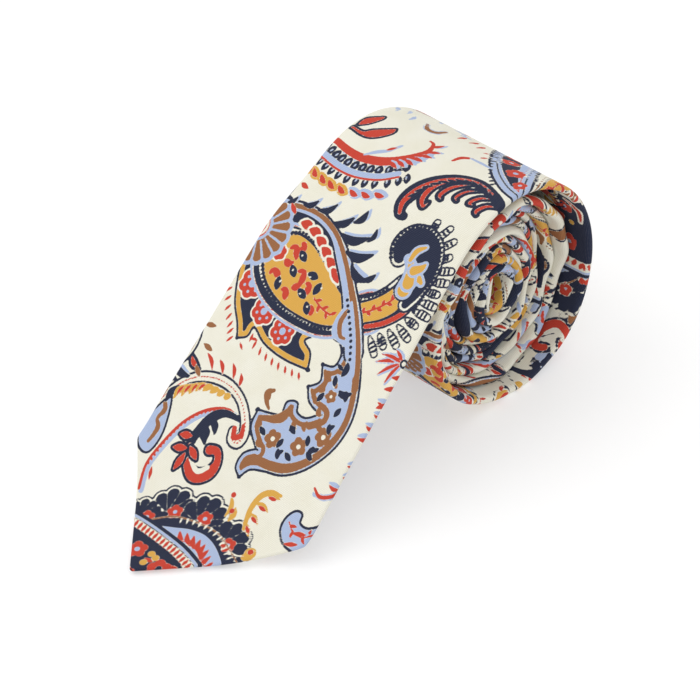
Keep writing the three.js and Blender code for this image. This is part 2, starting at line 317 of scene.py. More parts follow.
def grid_mesh(name, s, u, depth, q=None, closed=False):
    """A mesh from a grid of places, rows along the tie and columns across it. Each face joins four
    neighbours. A closed grid also joins the last column to the first, and its two ends get a face
    each. The UV map holds the place in the flat cloth in metres."""
    rows, count = s.shape
    mesh = bpy.data.meshes.new(name)
    across = np.arange(count if closed else count - 1)
    along_rows = np.arange(rows - 1)[:, None] * count
    here, there = along_rows + across, along_rows + (across + 1) % count
    faces = np.stack([here.ravel(), there.ravel(), there.ravel() + count, here.ravel() + count], 1)
    corners = faces.ravel()
    totals = np.full(len(faces), 4)
    if closed:
        first, last = np.arange(count)[::-1], np.arange(count) + (rows - 1) * count
        corners = np.concatenate([corners, first, last])
        totals = np.concatenate([totals, [count, count]])
    points = place(s, u, depth).reshape(-1, 3)
    mesh.vertices.add(len(points))
    mesh.vertices.foreach_set("co", points.ravel())
    mesh.loops.add(len(corners))
    mesh.loops.foreach_set("vertex_index", corners.astype(np.int32))
    mesh.polygons.add(len(totals))
    mesh.polygons.foreach_set("loop_start", (np.cumsum(totals) - totals).astype(np.int32))
    mesh.polygons.foreach_set("loop_total", totals.astype(np.int32))
    mesh.update(calc_edges=True)
    mesh.polygons.foreach_set("use_smooth", np.ones(len(totals), bool))
    uv = mesh.uv_layers.new(name="cloth")
    flat = np.stack([(u if q is None else q).ravel(), s.ravel()], 1) * MM
    uv.data.foreach_set("uv", flat[corners].ravel().astype(np.float32))
    obj = bpy.data.objects.new(name, mesh)
    bpy.context.collection.objects.link(obj)
    return obj


def tube(name, start, end, step, front, back, fold=10):
    """One printed piece of the shell, from start to end along the tie."""
    rows = np.linspace(start, end, int(round((end - start) / step)) + 1)
    part, t = columns(front, fold, back).T
    s = np.repeat(rows[:, None], len(part), 1)
    u, depth, q = tube_section(s, part[None, :], t[None, :])
    obj = grid_mesh(name, s, u, depth, q)
    print(name, len(obj.data.polygons), "faces")
    return obj, q, s


SPLIT_S = HINGE_S + 14
blade_free, q_free, s_free = tube("blade_cloth_free_end", 0, SPLIT_S, 0.5, 156, back=24)
blade_rolled, q_rolled, s_rolled = tube("blade_cloth_rolled", SPLIT_S, NECK_SEAM, 1.0, 66, back=28)
neck, q_neck, s_neck = tube("neck_cloth", NECK_SEAM, TAIL_SEAM, 1.0, 34, back=12)
tail, q_tail, s_tail = tube("tail_cloth", TAIL_SEAM, TAIL_END, 1.0, 34, back=12)

# %% [markdown]
# ## What lies inside the tube
# A tie keeps its shape because of its interlining, a strip of brushed wool that fills the tube.
# Behind each point a thin twill lining, the tipping, covers it between the hems. Both are flat
# strips a little narrower than the tie, so each is one closed grid: out along its front, back along
# its back.

# %% Interlining and tipping
LINING_INSET = 1.5
LINING_START = 5


def strip(name, start, end, step, front, back):
    """A flat strip inside the tube. front and back are functions of s and u that give the depth of
    its faces."""
    rows = np.linspace(start, end, int(round((end - start) / step)) + 1)
    out = np.linspace(-1, 1, 21)
    share = np.concatenate([out, out[::-1]])[None, :]
    is_back = (np.arange(42) >= 21)[None, :]
    s = np.repeat(rows[:, None], 42, 1)
    u = share * (half_width(s) - LINING_INSET)
    depth = np.where(is_back, back(s, u), front(s, u))
    obj = grid_mesh(name, s, u, depth, closed=True)
    print(name, f"{end - start:.0f} mm long,", len(obj.data.polygons), "faces")
    return obj


def inside(share):
    """A function for the depth at a share of the hollow between the two layers of cloth."""
    return lambda s, u: 0.4 + share * (back_depth(s, u) - 0.75)


wool_front, wool_back, twill_front, twill_back = inside(0), inside(0.65), inside(0.72), inside(0.9)


wool_free = strip("interlining_free_end", LINING_START, SPLIT_S, 2, wool_front, wool_back)
wool_rolled = strip("interlining_rolled", SPLIT_S, TAIL_SEAM, 2, wool_front, wool_back)
wool_tail = strip("interlining_tail", TAIL_SEAM, TAIL_END - LINING_START, 2, wool_front, wool_back)
tipping = strip("blade_tipping_cloth", LINING_START, BLADE_TIPPING_END, 1, twill_front, twill_back)
tail_tipping = strip("tail_tipping_cloth", TAIL_END - TAIL_TIPPING_END, TAIL_END - LINING_START, 1,
                     twill_front, twill_back)


# %% [markdown]
# ## The keeper
# The loop behind the blade that holds the tail is a folded strip of the same cotton, sewn down at
# its two ends. It is a closed grid like the interlining, but its rows run across the tie, and it
# stands clear of the tie in the middle.

# %% Keeper loop
KEEPER_CLOTH = 0.5
KEEPER_ROOM = 0.8


def keeper():
    """A flat oval ring of 24 places, KEEPER_HEIGHT long and KEEPER_CLOTH thick, at each of 61 rows
    across. The power 0.35 pushes the places out to the two ends of the oval, which makes it
    squarer."""
    across = np.linspace(-KEEPER_SPAN / 2, KEEPER_SPAN / 2, 61)[:, None]
    angle = np.linspace(0, 2 * np.pi, 24, endpoint=False)[None, :]
    half = KEEPER_HEIGHT / 2
    squarer = np.sign(np.cos(angle)) * np.abs(np.cos(angle)) ** 0.35
    s = KEEPER_AT + half + half * squarer + 0 * across
    lift = KEEPER_ROOM * smooth(KEEPER_SPAN / 2 - np.abs(across), 1, 8)
    depth = thickness(s) + 0.1 + lift + KEEPER_CLOTH / 2 * (1 - np.sin(angle))
    u = across + 0 * angle
    return grid_mesh("keeper_loop_cloth", s, u, depth, q=u + 60, closed=True), u + 60, s


keeper_loop, q_keeper, s_keeper = keeper()
print("keeper:", KEEPER_SPAN, "by", KEEPER_HEIGHT, "mm")

# %% [markdown]
# ## Threads
# A slip stitch closes the seam along the back: one long, loose cream thread that crosses from edge
# to edge. Where the hems meet, a bar tack stops the seam from tearing. It is a navy thread wound
# closely round a few straight ones, and short navy stitches hold the keeper. A thread is a thin
# tube along a line through places in the tie.

# %% Threads
THREAD = 0.2  # radius


def thread(name, paths, radius=THREAD, sides=8):
    """One piece made of a thin tube along each path of (s, u, depth) rows. At every point of a path
    a circle is set square to the path, between two directions found with cross products."""
    points, faces, lengths = [], [], []
    first = 0
    for path in paths:
        line = place(*np.asarray(path, float).T)
        ahead = np.gradient(line, axis=0)
        ahead /= np.linalg.norm(ahead, axis=1, keepdims=True)
        side = np.cross(ahead, np.array([0.31, 0.52, 0.80]))
        side /= np.linalg.norm(side, axis=1, keepdims=True)
        other = np.cross(ahead, side)
        angle = np.linspace(0, 2 * np.pi, sides, endpoint=False)[None, :, None]
        outwards = np.cos(angle) * side[:, None] + np.sin(angle) * other[:, None]
        ring = line[:, None] + radius * MM * outwards
        count = len(line)
        here = np.arange(count - 1)[:, None] * sides + np.arange(sides)[None, :]
        there = np.arange(count - 1)[:, None] * sides + (np.arange(sides)[None, :] + 1) % sides
        quads = np.stack([here, there, there + sides, here + sides], -1).reshape(-1, 4) + first
        faces += quads.tolist()
        faces.append([first + i for i in reversed(range(sides))])
        faces.append([first + (count - 1) * sides + i for i in range(sides)])
        length = np.concatenate([[0], np.cumsum(np.linalg.norm(np.diff(line, axis=0), axis=1))])
        lengths.append(np.repeat(length, sides))
        points.append(ring.reshape(-1, 3))
        first += count * sides
    mesh = bpy.data.meshes.new(name)
    mesh.from_pydata(np.concatenate(points).tolist(), [], faces)
    mesh.polygons.foreach_set("use_smooth", np.ones(len(mesh.polygons), bool))
    length_along = mesh.attributes.new("along", "FLOAT", "POINT")
    length_along.data.foreach_set("value", np.concatenate(lengths).astype(np.float32))
    obj = bpy.data.objects.new(name, mesh)
    bpy.context.collection.objects.link(obj)
    print(name, len(mesh.polygons), "faces")
    return obj


def slip_stitch(start, end, spacing=5.0):
    """A zigzag across the seam. It goes into the cloth at each edge and shows only between them."""
    s = np.arange(start, end, spacing / 8)
    swing = np.sin(2 * np.pi * (s - start) / spacing)
    return np.stack([s, 1.5 * swing, thickness(s) - 0.05 - 0.3 * np.abs(swing)], 1)


def bar_tack(s):
    """A close helix round a bar that spans the V between the hems, with each end in a hem."""
    reach = half_opening(np.array([s]))[0] + 0.8
    t = np.linspace(-1, 1, 18 * 12)
    turns = 18 * np.pi * t
    up = s + TACK_HEIGHT / 2 * (1 + np.sin(turns))
    depth = thickness(s) + 0.15 - 0.25 * np.cos(turns) - 0.5 * smooth(np.abs(t), 0.8, 1)
    return [np.stack([up, reach * t, depth], 1)]


def seam_stitches(s):
    """Short machine stitches along the seam that joins two lengths of cloth, on the printed face."""
    half = half_width(np.array([s]))[0] - 2.5
    t = np.linspace(0, 1, 9)
    middles = np.arange(-half, half, 2.6)
    return [np.stack([s + 0 * t, u + 2.0 * t, 0.25 - 0.28 * np.sin(np.pi * t)], 1) for u in middles]


def keeper_stitches(side):
    """Five short stitches over each end of the keeper."""
    t = np.linspace(0, 1, 9)
    u = side * (KEEPER_SPAN / 2 + 1.0 - 2.6 * t)
    places = KEEPER_AT + np.linspace(1.2, KEEPER_HEIGHT - 1.2, 5)
    rise = thickness(places[0]) + 0.1 + 0.65 * np.sin(np.pi * t) ** 0.6
    return [np.stack([s + 0.5 * t, u, rise], 1) for s in places]


BLADE_TACK = BLADE_HEMS_MEET - TACK_OFFSET
TAIL_TACK = TAIL_END - TAIL_HEMS_MEET + TACK_OFFSET
slip_free = thread("slip_stitch_free_end_thread", [slip_stitch(BLADE_HEMS_MEET, SPLIT_S)], sides=6)
slip_rolled = thread("slip_stitch_rolled_thread", [slip_stitch(SPLIT_S, TAIL_END - TAIL_HEMS_MEET)],
                     sides=6)
blade_tack = thread("blade_bar_tack_thread", bar_tack(BLADE_TACK))
tail_tack = thread("tail_bar_tack_thread", bar_tack(TAIL_TACK))
neck_stitches = thread("neck_seam_stitches", seam_stitches(NECK_SEAM), sides=6)
tail_stitches = thread("tail_seam_stitches", seam_stitches(TAIL_SEAM), sides=6)
keeper_near = thread("keeper_stitches_near", keeper_stitches(1))
keeper_far = thread("keeper_stitches_far", keeper_stitches(-1))

# %% [markdown]
# ## The printing inks
# The cloth is printed with five inks on cream cotton. Each ink gets a number at every vertex: the
# distance in millimetres to the nearest edge of that ink, negative inside it. The material only
# asks whether the number is below zero. Distances change evenly between vertices, so the printed
# edges stay sharp however close the camera comes.

# %% Drawing tools
NAVY, RED, GOLD, BLUE, BROWN, CREAM = range(6)
STEP_ACROSS, STEP_ALONG = np.array([100, 0]), np.array([50, 208])
drawing = []


def curve(points, closed=False, steps=6):
    """A smooth line through the points, and a point given twice is a corner. Each span is the usual
    Catmull-Rom mix of the four points round it, and any third number, the brush's radius, is mixed
    in the same way."""
    p = np.array(points, float)
    if len(p) < 3:
        return p
    p = np.concatenate([p[-1:], p, p[:2]]) if closed else np.concatenate([p[:1], p, p[-1:]])
    t = np.linspace(0, 1, steps, endpoint=False)[:, None]
    spans = [
        0.5 * (2 * b + (c - a) * t + (2 * a - 5 * b + 4 * c - d) * t**2 + (3 * b - a - 3 * c + d) * t**3)
        for a, b, c, d in zip(p, p[1:], p[2:], p[3:])
    ]
    return np.concatenate(spans if closed else spans + [p[-2:-1]])


def brush(points, *layers):
    """A brush stroke through (across, along, radius) points. Each layer is (extra radius, ink),
    painted in turn."""
    drawing.append((curve(points), False, layers))


def shape(points, *layers):
    """A filled outline through (across, along) points."""
    drawing.append((curve(points, closed=True), True, layers))


def dot(u, a, radius, *inks):
    """Round spots inside one another, each ink 0.6 mm smaller than the one before."""
    drawing.append((np.array([[u, a, radius]]), False, [(-0.6 * i, ink) for i, ink in enumerate(inks)]))


def turn(degrees):
    """One step in that direction: how far it goes across and how far along."""
    return math.cos(math.radians(degrees)), math.sin(math.radians(degrees))


def leaf(u, a, degrees, length, width, *layers, bend=0.0):
    """A pointed leaf that starts at (u, a) and grows in that direction."""
    c, s = turn(degrees)
    side = bend * length
    middle = (u + c * length / 2 - s * side, a + s * length / 2 + c * side, width / 2)
    brush([(u, a, width / 7), middle, (u + c * length, a + s * length, width / 9)], *layers)


def flower(u, a, radius, petals, ink, eye, rim=None):
    """Round petals about a centre, with an optional rim of another ink."""
    for extra, colour in ([(0.55, rim)] if rim is not None else []) + [(0, ink)]:
        for k in range(petals):
            c, s = turn(90 + 360 * k / petals)
            dot(u + c * radius * 0.6, a + s * radius * 0.6, radius * 0.46 + extra, colour)
        dot(u, a, radius * 0.4 + extra, colour)
    dot(u, a, radius * 0.27, eye)


def along(points, spacing, offset=0.0):
    """Evenly spaced (u, a, degrees) places along a smooth line, moved sideways by offset."""
    p = curve([x[:2] for x in points], steps=16)
    length = np.concatenate([[0], np.cumsum(np.hypot(*np.diff(p, axis=0).T))])
    where = np.arange(spacing / 2, length[-1], spacing)
    u, a = np.interp(where, length, p[:, 0]), np.interp(where, length, p[:, 1])
    du = np.interp(where, length, np.gradient(p[:, 0], length + np.arange(len(p)) * 1e-9))
    da = np.interp(where, length, np.gradient(p[:, 1], length + np.arange(len(p)) * 1e-9))
    size = np.hypot(du, da)
    return list(zip(u - da / size * offset, a + du / size * offset, np.degrees(np.arctan2(da, du))))


def beads(points, spacing, radius, ink):
    """Round beads at even steps along a line."""
    for u, a, _ in along(points, spacing):
        dot(u, a, radius, ink)


def comb(points, spacing, lean, length, width, *layers, offset=0.0, bend=0.0, shadow=None):
    """A row of leaves that all lean the same way from a line, each with an optional shadow beside it."""
    for u, a, degrees in along(points, spacing, offset=offset):
        if shadow is not None:
            leaf(u + 0.7, a - 0.5, degrees + lean, length, width, (0.1, shadow), bend=bend)
        leaf(u, a, degrees + lean, length, width, *layers, bend=bend)


def vein(points, spacing, length, ink, width=0.5):
    """A thin stem with short side twigs, left and right in turn."""
    brush([(u, a, width * 0.6) for u, a in points], (0, ink))
    for i, (u, a, degrees) in enumerate(along(points, spacing)):
        leaf(u, a, degrees + (48 if i % 2 else -48), length, width * 2, (0, ink))


print("a curve through four corners has", len(curve([(0, 0), (1, 0), (1, 1), (0, 1)], True)), "points")


# %% [markdown]
# ## The design
# A paisley print is built from curved drops, leaves, scrolls and small flowers, with beads, combs and
# scallops along their edges. The motifs are placed in the flat cloth: millimetres across from the middle,
# and millimetres from the hinge line towards the apex. Later strokes cover earlier ones. The blade's end
# is cut from an open part of the design. Elsewhere small sprigs fill the ground between the motifs.
#
# The motifs below aren't generic. They follow one particular printed fabric closely, and a fabric's
# composition is somebody's own work. Before the tie is reused, they should be replaced by plain
# drops, leaves and flowers that a loop scatters with the same tools.

# %% Ground
SPRIGS = 120


def scatter(count):
    """Places spread evenly over one repeat by steps of two irrational shares, which never line up."""
    k = np.arange(count)
    return zip((k * 0.75488 % 1 - 0.5) * STEP_ACROSS[0], k * 0.56984 % 1 * STEP_ALONG[1] - 50,
               k * 137.5 % 360)


for k, (u, a, degrees) in enumerate(scatter(SPRIGS)):
    if k % 4 == 0:
        flower(u, a, 3.2 + k % 3 * 0.5, 5 + k % 2, (RED, GOLD, BLUE)[k % 3], (CREAM, RED, NAVY)[k % 3],
               rim=NAVY)
    elif k % 4 == 1:
        leaf(u, a, degrees, 9, 4.6, (0.9, NAVY), (0.3, CREAM), (-0.3, (GOLD, NAVY, RED)[k % 3]), bend=0.2)
        leaf(u, a, degrees, 7, 1.6, (0, (RED, BLUE, NAVY)[k % 3]), bend=0.2)
    elif k % 4 == 2:
        for lean in (-50, 0, 50):
            leaf(u + 0.6, a - 0.5, degrees + lean, 6, 1.9, (0, BLUE), bend=0.15)
            leaf(u, a, degrees + lean, 6, 1.6, (0, (RED, NAVY, BROWN)[k % 3]), bend=0.15)
    else:
        c, s = turn(degrees)
        brush([(u, a, 0.6), (u + 4 * c, a + 4 * s, 1.9), (u + 7 * c - 3 * s, a + 7 * s + 3 * c, 0.7)],
              (0.7, NAVY), (0, BROWN if k % 3 else BLUE))
# These strokes fill the ground of every repeat but the one at the blade's end.
GROUND = len(drawing)

# %% [markdown]
# ## The border at the point
# The point of the blade cuts through the edge of a large medallion: scalloped lobes, a row of red
# flowers, a blue crescent, a striped band and a navy ground full of small flowers. Each lobe is
# five short brushes that fan out from one centre. All lobes are drawn in one ink before the next,
# so that they share one rim.

# %% Motifs near the point
lobes = [(-17.5, 138, 5.2), (-11, 132, 7.2), (0, 129.4, 7.8), (12.3, 131.6, 7.4), (20.5, 137.2, 5.0)]
for layers in ([(1.2, NAVY)], [(0.75, CREAM)], [(0.25, CREAM), (-0.05, NAVY)]):
    for u, a, radius in lobes:
        for k in range(5):
            c, s = turn(270 + 38 * (k - 2))
            brush([(u, a + 1, 0.6), (u + c * radius * 0.8, a + s * radius * 0.8, radius * 0.27)], *layers)
shape([(-22, 138), (-14, 134.5), (-5, 131), (5, 130.5), (14, 133), (23, 138), (12, 146), (-12, 144)],
      (0, NAVY))
for u, a in ((-15.5, 138.3), (-9.5, 131.8), (0.6, 128.4), (13.6, 131.3)):
    flower(u, a, 2.5, 5, RED, BLUE)
brush([(-15, 140, 0.3), (-9, 133.5, 0.3), (0, 130.6, 0.3), (9, 130.2, 0.3), (21, 134.4, 0.3)], (0, BROWN))
comb([(-6, 134.5), (0, 132), (8, 131.8), (18, 136)], 2.1, -90, 2.2, 0.7, (0, CREAM))
shape([(-11, 139.5), (-5, 136), (0, 133.6), (6, 132.8), (13, 135), (21, 140.5), (18, 143), (4, 140.5),
       (-4, 139.5)], (0.7, NAVY), (0, BLUE))
comb([(-4, 136.5), (2, 134.8), (8, 135.2), (15, 138.8)], 2.6, 52, 5.2, 1.7, (0, RED), bend=0.08)
stripe = [(-26, 143.2), (-16, 142.2), (-6, 142.2), (4, 143), (14, 145.6), (22, 149)]
shape([(-26, 144), (-14, 143.4), (0, 143.5), (14, 147), (24, 151), (14, 172), (-14, 172)], (0, NAVY))
brush([(u, a - 2.4, 1.5) for u, a in stripe], (0, NAVY))
brush([(u, a - 2.3, 0.45) for u, a in stripe], (0, BLUE))
brush([(u, a, 1.35) for u, a in stripe], (0, CREAM))
comb([(u, a - 1.3) for u, a in stripe], 1.75, 76, 2.8, 0.95, (0.1, RED))
flower(-7.6, 149.3, 3.2, 5, RED, BLUE)
flower(3.6, 150.6, 3.6, 5, RED, NAVY)
leaf(5, 149, -28, 5, 2.6, (0, RED))
leaf(0, 150, 170, 3, 1.6, (0, RED))
for u, a in ((-2, 151.8), (-2.6, 147.9), (-0.4, 148.3), (4, 157.4), (-9, 158), (7, 165), (-3, 168),
             (9, 158.4)):
    dot(u, a, 1.2, GOLD)
for u, a, radius in ((-3, 158.6, 3.4), (-8, 165.4, 3.0), (2, 164.6, 3.2), (9.4, 153.6, 2.4)):
    flower(u, a, radius, 5, RED, BLUE)
brush([(-13, 160, 0.5), (-13.4, 166, 0.8), (-10, 171, 0.5)], (0.5, CREAM), (0, RED))
brush([(13, 158, 0.5), (12.6, 166, 0.8), (8, 171.4, 0.5)], (0.5, CREAM), (0, RED))
print("strokes so far:", len(drawing))

# %% [markdown]
# ## Scrolls
# Thin double lines sweep in from the left fold, and rows of short red and gold strokes hang from
# them. A smooth curve through a few points gives each sweep, and leaves at even steps along it give
# each row, which is how a designer's pen would fill it.

# %% Scrolls left of the middle
long_line = [(-26, 132), (-30.4, 124), (-29.8, 115), (-26.5, 106.5), (-21, 100.2), (-14, 96.8),
             (-8, 97.8)]
brush([(u + 1.3, a + 0.3, 0.8) for u, a in long_line], (0, BLUE))
brush([(u, a, 0.5) for u, a in long_line], (0, RED))
comb(long_line[1:], 1.6, 130, 1.3, 0.8, (0, RED))
leaf(-28, 124, 58, 4.6, 1.2, (0, RED))
brush([(-8, 97.6, 0.4), (-14, 98.2, 0.9), (-18, 101.5, 1.5), (-20.3, 107.5, 1.3), (-20.6, 113, 1.2)],
      (0.2, NAVY))
for u, a, degrees in ((-18, 102, 40), (-20, 107, 30), (-19, 104.5, 60)):
    leaf(u, a, degrees, 5, 2.4, (0, NAVY), bend=-0.15)
crook = [(-20.6, 112, 0.6), (-18, 117, 1.2), (-13, 119.2, 2.1), (-9, 116.5, 2.0), (-8, 112.5, 1.3),
         (-10, 109.4, 1.2), (-13, 110.2, 1.4)]
brush(crook, (0.75, NAVY), (0.0, RED))
brush([(-18, 115.5, 0.4), (-13, 117.6, 0.9), (-10.3, 115, 0.8)], (0, CREAM))
for u, a, degrees, long in ((-20.5, 115, 92, 6), (-21, 113.5, 158, 5), (-20, 112.5, 28, 5),
                            (-21.5, 109.5, 162, 4.5)):
    leaf(u, a, degrees, long, 2.6, (0.6, NAVY), (-0.1, RED))
shape([(-33, 121), (-32, 115), (-33.5, 108), (-36.5, 102), (-41, 103), (-42, 113), (-38, 120)],
      (0.5, NAVY), (-0.2, BLUE))
brush([(-35, 118, 0.6), (-34.6, 113, 0.9), (-36.5, 110.5, 0.6), (-35.6, 107, 0.9), (-38, 104, 0.6)],
      (0, BROWN))
hook = [(-41, 110, 0.6), (-37.6, 101.5, 0.9), (-33, 95, 1.0), (-26.5, 91.3, 1.2), (-19, 90.2, 1.2),
        (-12, 92, 1.1), (-7, 96, 1.2)]
hook += [(-4.2, 100.5, 1.3), (-4.6, 103.8, 1.2), (-7.4, 104, 1.1), (-8.6, 101.6, 0.9)]
brush(hook, (0.75, NAVY), (0.15, CREAM))
comb(hook, 1.15, 8, 0.7, 0.55, (0.05, RED))
brush([(-8.4, 100.6, 0.9), (-7, 102.9, 0.9), (-5, 101.4, 0.9), (-6, 98.4, 0.5)], (0, RED))
for i, (u, a, degrees) in enumerate(along([(-36, 98.8), (-31, 95.6), (-25, 92.9), (-14, 92.4)], 2.6)):
    long = 6.2 - 0.5 * i
    leaf(u - 0.3, a + 0.6, degrees + 140, long, 2.3, (0, GOLD if i else NAVY), bend=0.12)
    leaf(u - 0.4, a + 0.8, degrees + 138, long * 0.75, 1.1,
         (0, RED if 0 < i < 5 else GOLD if i else NAVY), bend=0.12)
for u, a, degrees, long in ((-27, 89, 218, 6), (-22.6, 88.4, 222, 5), (-18, 88, 234, 5),
                            (-14.5, 89, 244, 4)):
    leaf(u, a, degrees, long, 1.5, (0, RED), bend=0.1)
leaf(-31.5, 91, 208, 6.5, 2.8, (0.3, NAVY), (-0.55, RED), bend=-0.12)
leaf(-34.5, 94, 196, 7, 3.2, (0.2, BLUE), bend=-0.15)
leaf(-34, 94.6, 194, 7, 2.2, (0.1, NAVY), bend=-0.15)
leaf(-37, 97.5, 184, 5, 1.6, (0, NAVY))
print("strokes so far:", len(drawing))

# %% [markdown]
# ## Sprigs and a small drop
# Small sprigs fill the space between the border and the large leaf, and a blue drop with a red vein
# fills the right corner. A sprig is a curved stem with a leaf at each listed place and angle. A
# blue leaf laid first and a little aside makes the shadow of a red one.

# %% Gold sprigs and the drop at the right corner
leaf(5.6, 124.5, 248, 7, 1.7, (0, GOLD), bend=0.16)
leaf(7.6, 125, 262, 4.6, 2.2, (0, GOLD), bend=0.1)
dot(3.6, 117.6, 0.9, RED)
dot(6.5, 121.9, 0.9, RED)
brush([(14, 124.5, 0.6), (11.8, 119, 0.9), (12.2, 114, 1.0), (15, 111, 0.9), (18.8, 110.3, 0.5)],
      (0, GOLD))
for u, a, degrees in ((12.5, 123, 30), (12, 119.8, 16), (12.2, 116, 4), (13.6, 112.3, -10)):
    leaf(u, a, degrees, 5.4, 1.9, (0, GOLD), bend=-0.1)
    leaf(u + 1.4, a + 0.3, degrees, 3.2, 1.3, (0, RED))
dot(21.6, 129.6, 2.0, GOLD)
dot(21.4, 129.2, 1.0, RED)
brush([(20, 131.5, 0.3), (21, 132.2, 0.5), (23, 131, 0.3)], (0, GOLD))
drop = [(38, 121.4), (33, 122), (28.5, 121.5), (25, 118.6), (24.4, 115), (26, 112), (28.4, 111.6),
        (29.4, 114.2), (33, 114.3), (37, 111), (41, 106), (42, 114)]
shape(drop, (0.55, NAVY), (-0.15, BLUE))
vein([(26, 115.4), (29, 117.2), (33, 117), (37.5, 113)], 2.0, 2.6, RED, 0.55)
brush([(29, 104.4, 0.4), (32, 104.2, 0.5), (35, 102.2, 0.5), (37, 99, 0.4)], (0.5, BLUE))
brush([(28, 103, 0.4), (31, 104.4, 0.6), (35, 102.2, 0.6), (37, 98, 0.5)], (0, RED))
for u, a, degrees in ((32, 100, -6), (35, 96, -30), (34.6, 92.5, -30), (33, 84, -28), (33.4, 79.6, -8),
                      (34, 75.6, -12), (33, 71.8, -10)):
    leaf(u - 0.4, a - 0.7, degrees, 4.4, 1.5, (0, BLUE))
    leaf(u, a, degrees, 4.2, 1.3, (0, RED), bend=0.15)
print("strokes so far:", len(drawing))

# %% [markdown]
# ## The large leaf
# The main motif of the blade is a long leaf with a torn inner edge, blue with a brown band inside
# its rim. It is one outline filled four times, each time further in, so that navy, blue, brown and
# blue lie inside one another. Corners in the edge are points given twice.

# %% The large leaf
outer = [(1.8, 112), (4, 108.5), (9, 106.6), (15, 105), (20.5, 101), (25, 95), (27.8, 88), (28, 80),
         (25, 71.5), (19.5, 62.5), (12, 53.4)]
inner = [(6, 52), (5.2, 57), (6.6, 61.4), (11, 62.4), (13.6, 65.4), (13.2, 69.4), (9.2, 70.6),
         (9.2, 70.6), (11.4, 75.2), (8.4, 78.4)]
inner += [(8.4, 78.4), (11.4, 82), (17.2, 83.6), (17.2, 83.6), (13, 87), (9, 86.8), (7.4, 84.3),
          (4.2, 85.6), (4, 90), (-3.8, 92.2)]
inner += [(-3.8, 92.2), (-3, 97.6), (2.8, 102.4), (2.8, 102.4), (-0.8, 105.6), (-1, 110), (1.8, 112)]
shape([(1.8, 112)] + outer + inner, (0.45, NAVY), (-0.2, BLUE), (-1.1, BROWN), (-2.6, BLUE))
brush([(0.8, 108.6, 0.9), (3, 105.4, 1.3), (9, 104.6, 1.5), (15, 102.8, 1.5), (20, 98.8, 1.3),
       (24.4, 92.5, 1.2), (26.4, 86, 1.1), (26.3, 80, 1.0), (23.6, 72, 0.9), (18, 63, 0.8)], (0, BROWN))
for u, a, long in ((5, 88.6, 3), (9.5, 89.2, 3), (14, 87.6, 3), (-1.5, 94, 3), (1.5, 99, 3),
                   (18, 86, 3.4), (12, 79.6, 3), (15.5, 82, 3), (13.6, 75.8, 3), (12.4, 71.6, 3),
                   (16, 68, 2.6), (16.4, 72.5, 2.4)):
    leaf(u, a, 20 + 7 * long * u % 60, long, 1.9, (0, BROWN), bend=0.2)
brush([(-2.2, 93.6, 0.6), (3, 91.4, 0.9), (5.6, 88, 0.8), (6, 86, 0.6)], (0, BROWN))
brush([(9.8, 78.6, 0.5), (13, 80.9, 0.8), (18, 81.6, 0.9), (19.4, 84.8, 1.0), (15.6, 88.6, 0.8)],
      (0, BROWN))
brush([(10.8, 71.8, 0.5), (13, 74.6, 0.8), (11.2, 78, 0.5)], (0, BROWN))
for u, a in ((6, 97.2), (15.6, 95.2), (22, 89), (17.4, 77.5)):
    flower(u, a, 2.9 if a > 80 else 2.0, 5, BROWN, CREAM)
specks = [(1, 96.8), (10.6, 99.6), (10.4, 96.4), (10.4, 91.8), (18, 91.6), (21.6, 93.6), (20.4, 96),
          (22.8, 85.4), (23.6, 79.8), (20.2, 75.4), (16.4, 72.2), (19, 68.4), (13.6, 99.4), (22.6, 74.6),
          (15.4, 78.4)]
for i, (u, a) in enumerate(specks):
    leaf(u - 1, a - 0.6, 25 + 40 * (i % 3), 2.9, 1.7, (0, NAVY))
    if i % 2:
        leaf(u + 0.8, a - 1, 130, 2.2, 1.2, (0, NAVY))
beads([(17.6, 65.8), (12.6, 58.6), (6.6, 50.6)], 2.3, 0.55, NAVY)
brush([(-0.6, 90.2, 0.4), (-2.6, 88.6, 0.8), (-4, 86.2, 1.0), (-2.2, 84.6, 0.6)], (0, BROWN))
leaf(-2.4, 88.4, 250, 3.2, 1.8, (0, BROWN))
print("strokes so far:", len(drawing))

# %% [markdown]
# ## The gold drop and its crescent
# A fat gold drop full of red buds lies across the blade, under a navy crescent of flowers and over
# a long blue and brown stem. The drop is a brush with a changing radius, laid down eight times in
# different widths, the first four a little aside. That leaves blue, red, navy and cream rims round
# the gold.

# %% The gold drop and the navy crescent above it
crescent = [(-41, 44), (-37.4, 56), (-32.5, 66.5), (-27, 72.6), (-24.4, 76.4), (-24.4, 76.4),
            (-21.4, 74.6), (-20.6, 71), (-14, 73.8), (-5, 74.8), (4.6, 74), (4.6, 74)]
crescent += [(2.6, 69.5), (-1.6, 66.6), (5, 60), (-10, 56), (-30, 46)]
for u, a, degrees in along(crescent[:11], 2.7, offset=1.6)[4:]:
    leaf(u, a, degrees + 62, 3.0, 0.95, (0, RED))
shape(crescent, (0.45, NAVY), (-0.2, GOLD), (-1.9, NAVY))
for u, a, radius in ((-29.6, 60, 4.6), (-20.3, 65.6, 4.2), (-10.4, 68, 4.2)):
    flower(u, a, radius, 6, RED, BLUE, rim=CREAM)
    for k in range(6):
        c, s = turn(90 + 60 * k)
        dot(u + c * radius * 0.6, a + s * radius * 0.6, 0.5, BLUE)
shape([(-40, 36), (-30, 33), (-20, 31.6), (-10, 34), (0, 42), (6, 50), (-10, 52), (-34, 50)], (0, NAVY))
body = [(-27.5, 46.5, 4.2), (-22, 48.6, 8.6), (-15, 51.2, 9.4), (-7, 53.6, 7.6), (1, 54.8, 5.4),
        (9, 53, 3.2), (15, 49.6, 3.3), (19.6, 44.6, 3.4), (21.6, 39, 2.6)]
brush([(u - 0.6, a + 0.6, r) for u, a, r in body[:7]], (4.0, BLUE), (3.2, RED), (2.7, NAVY))
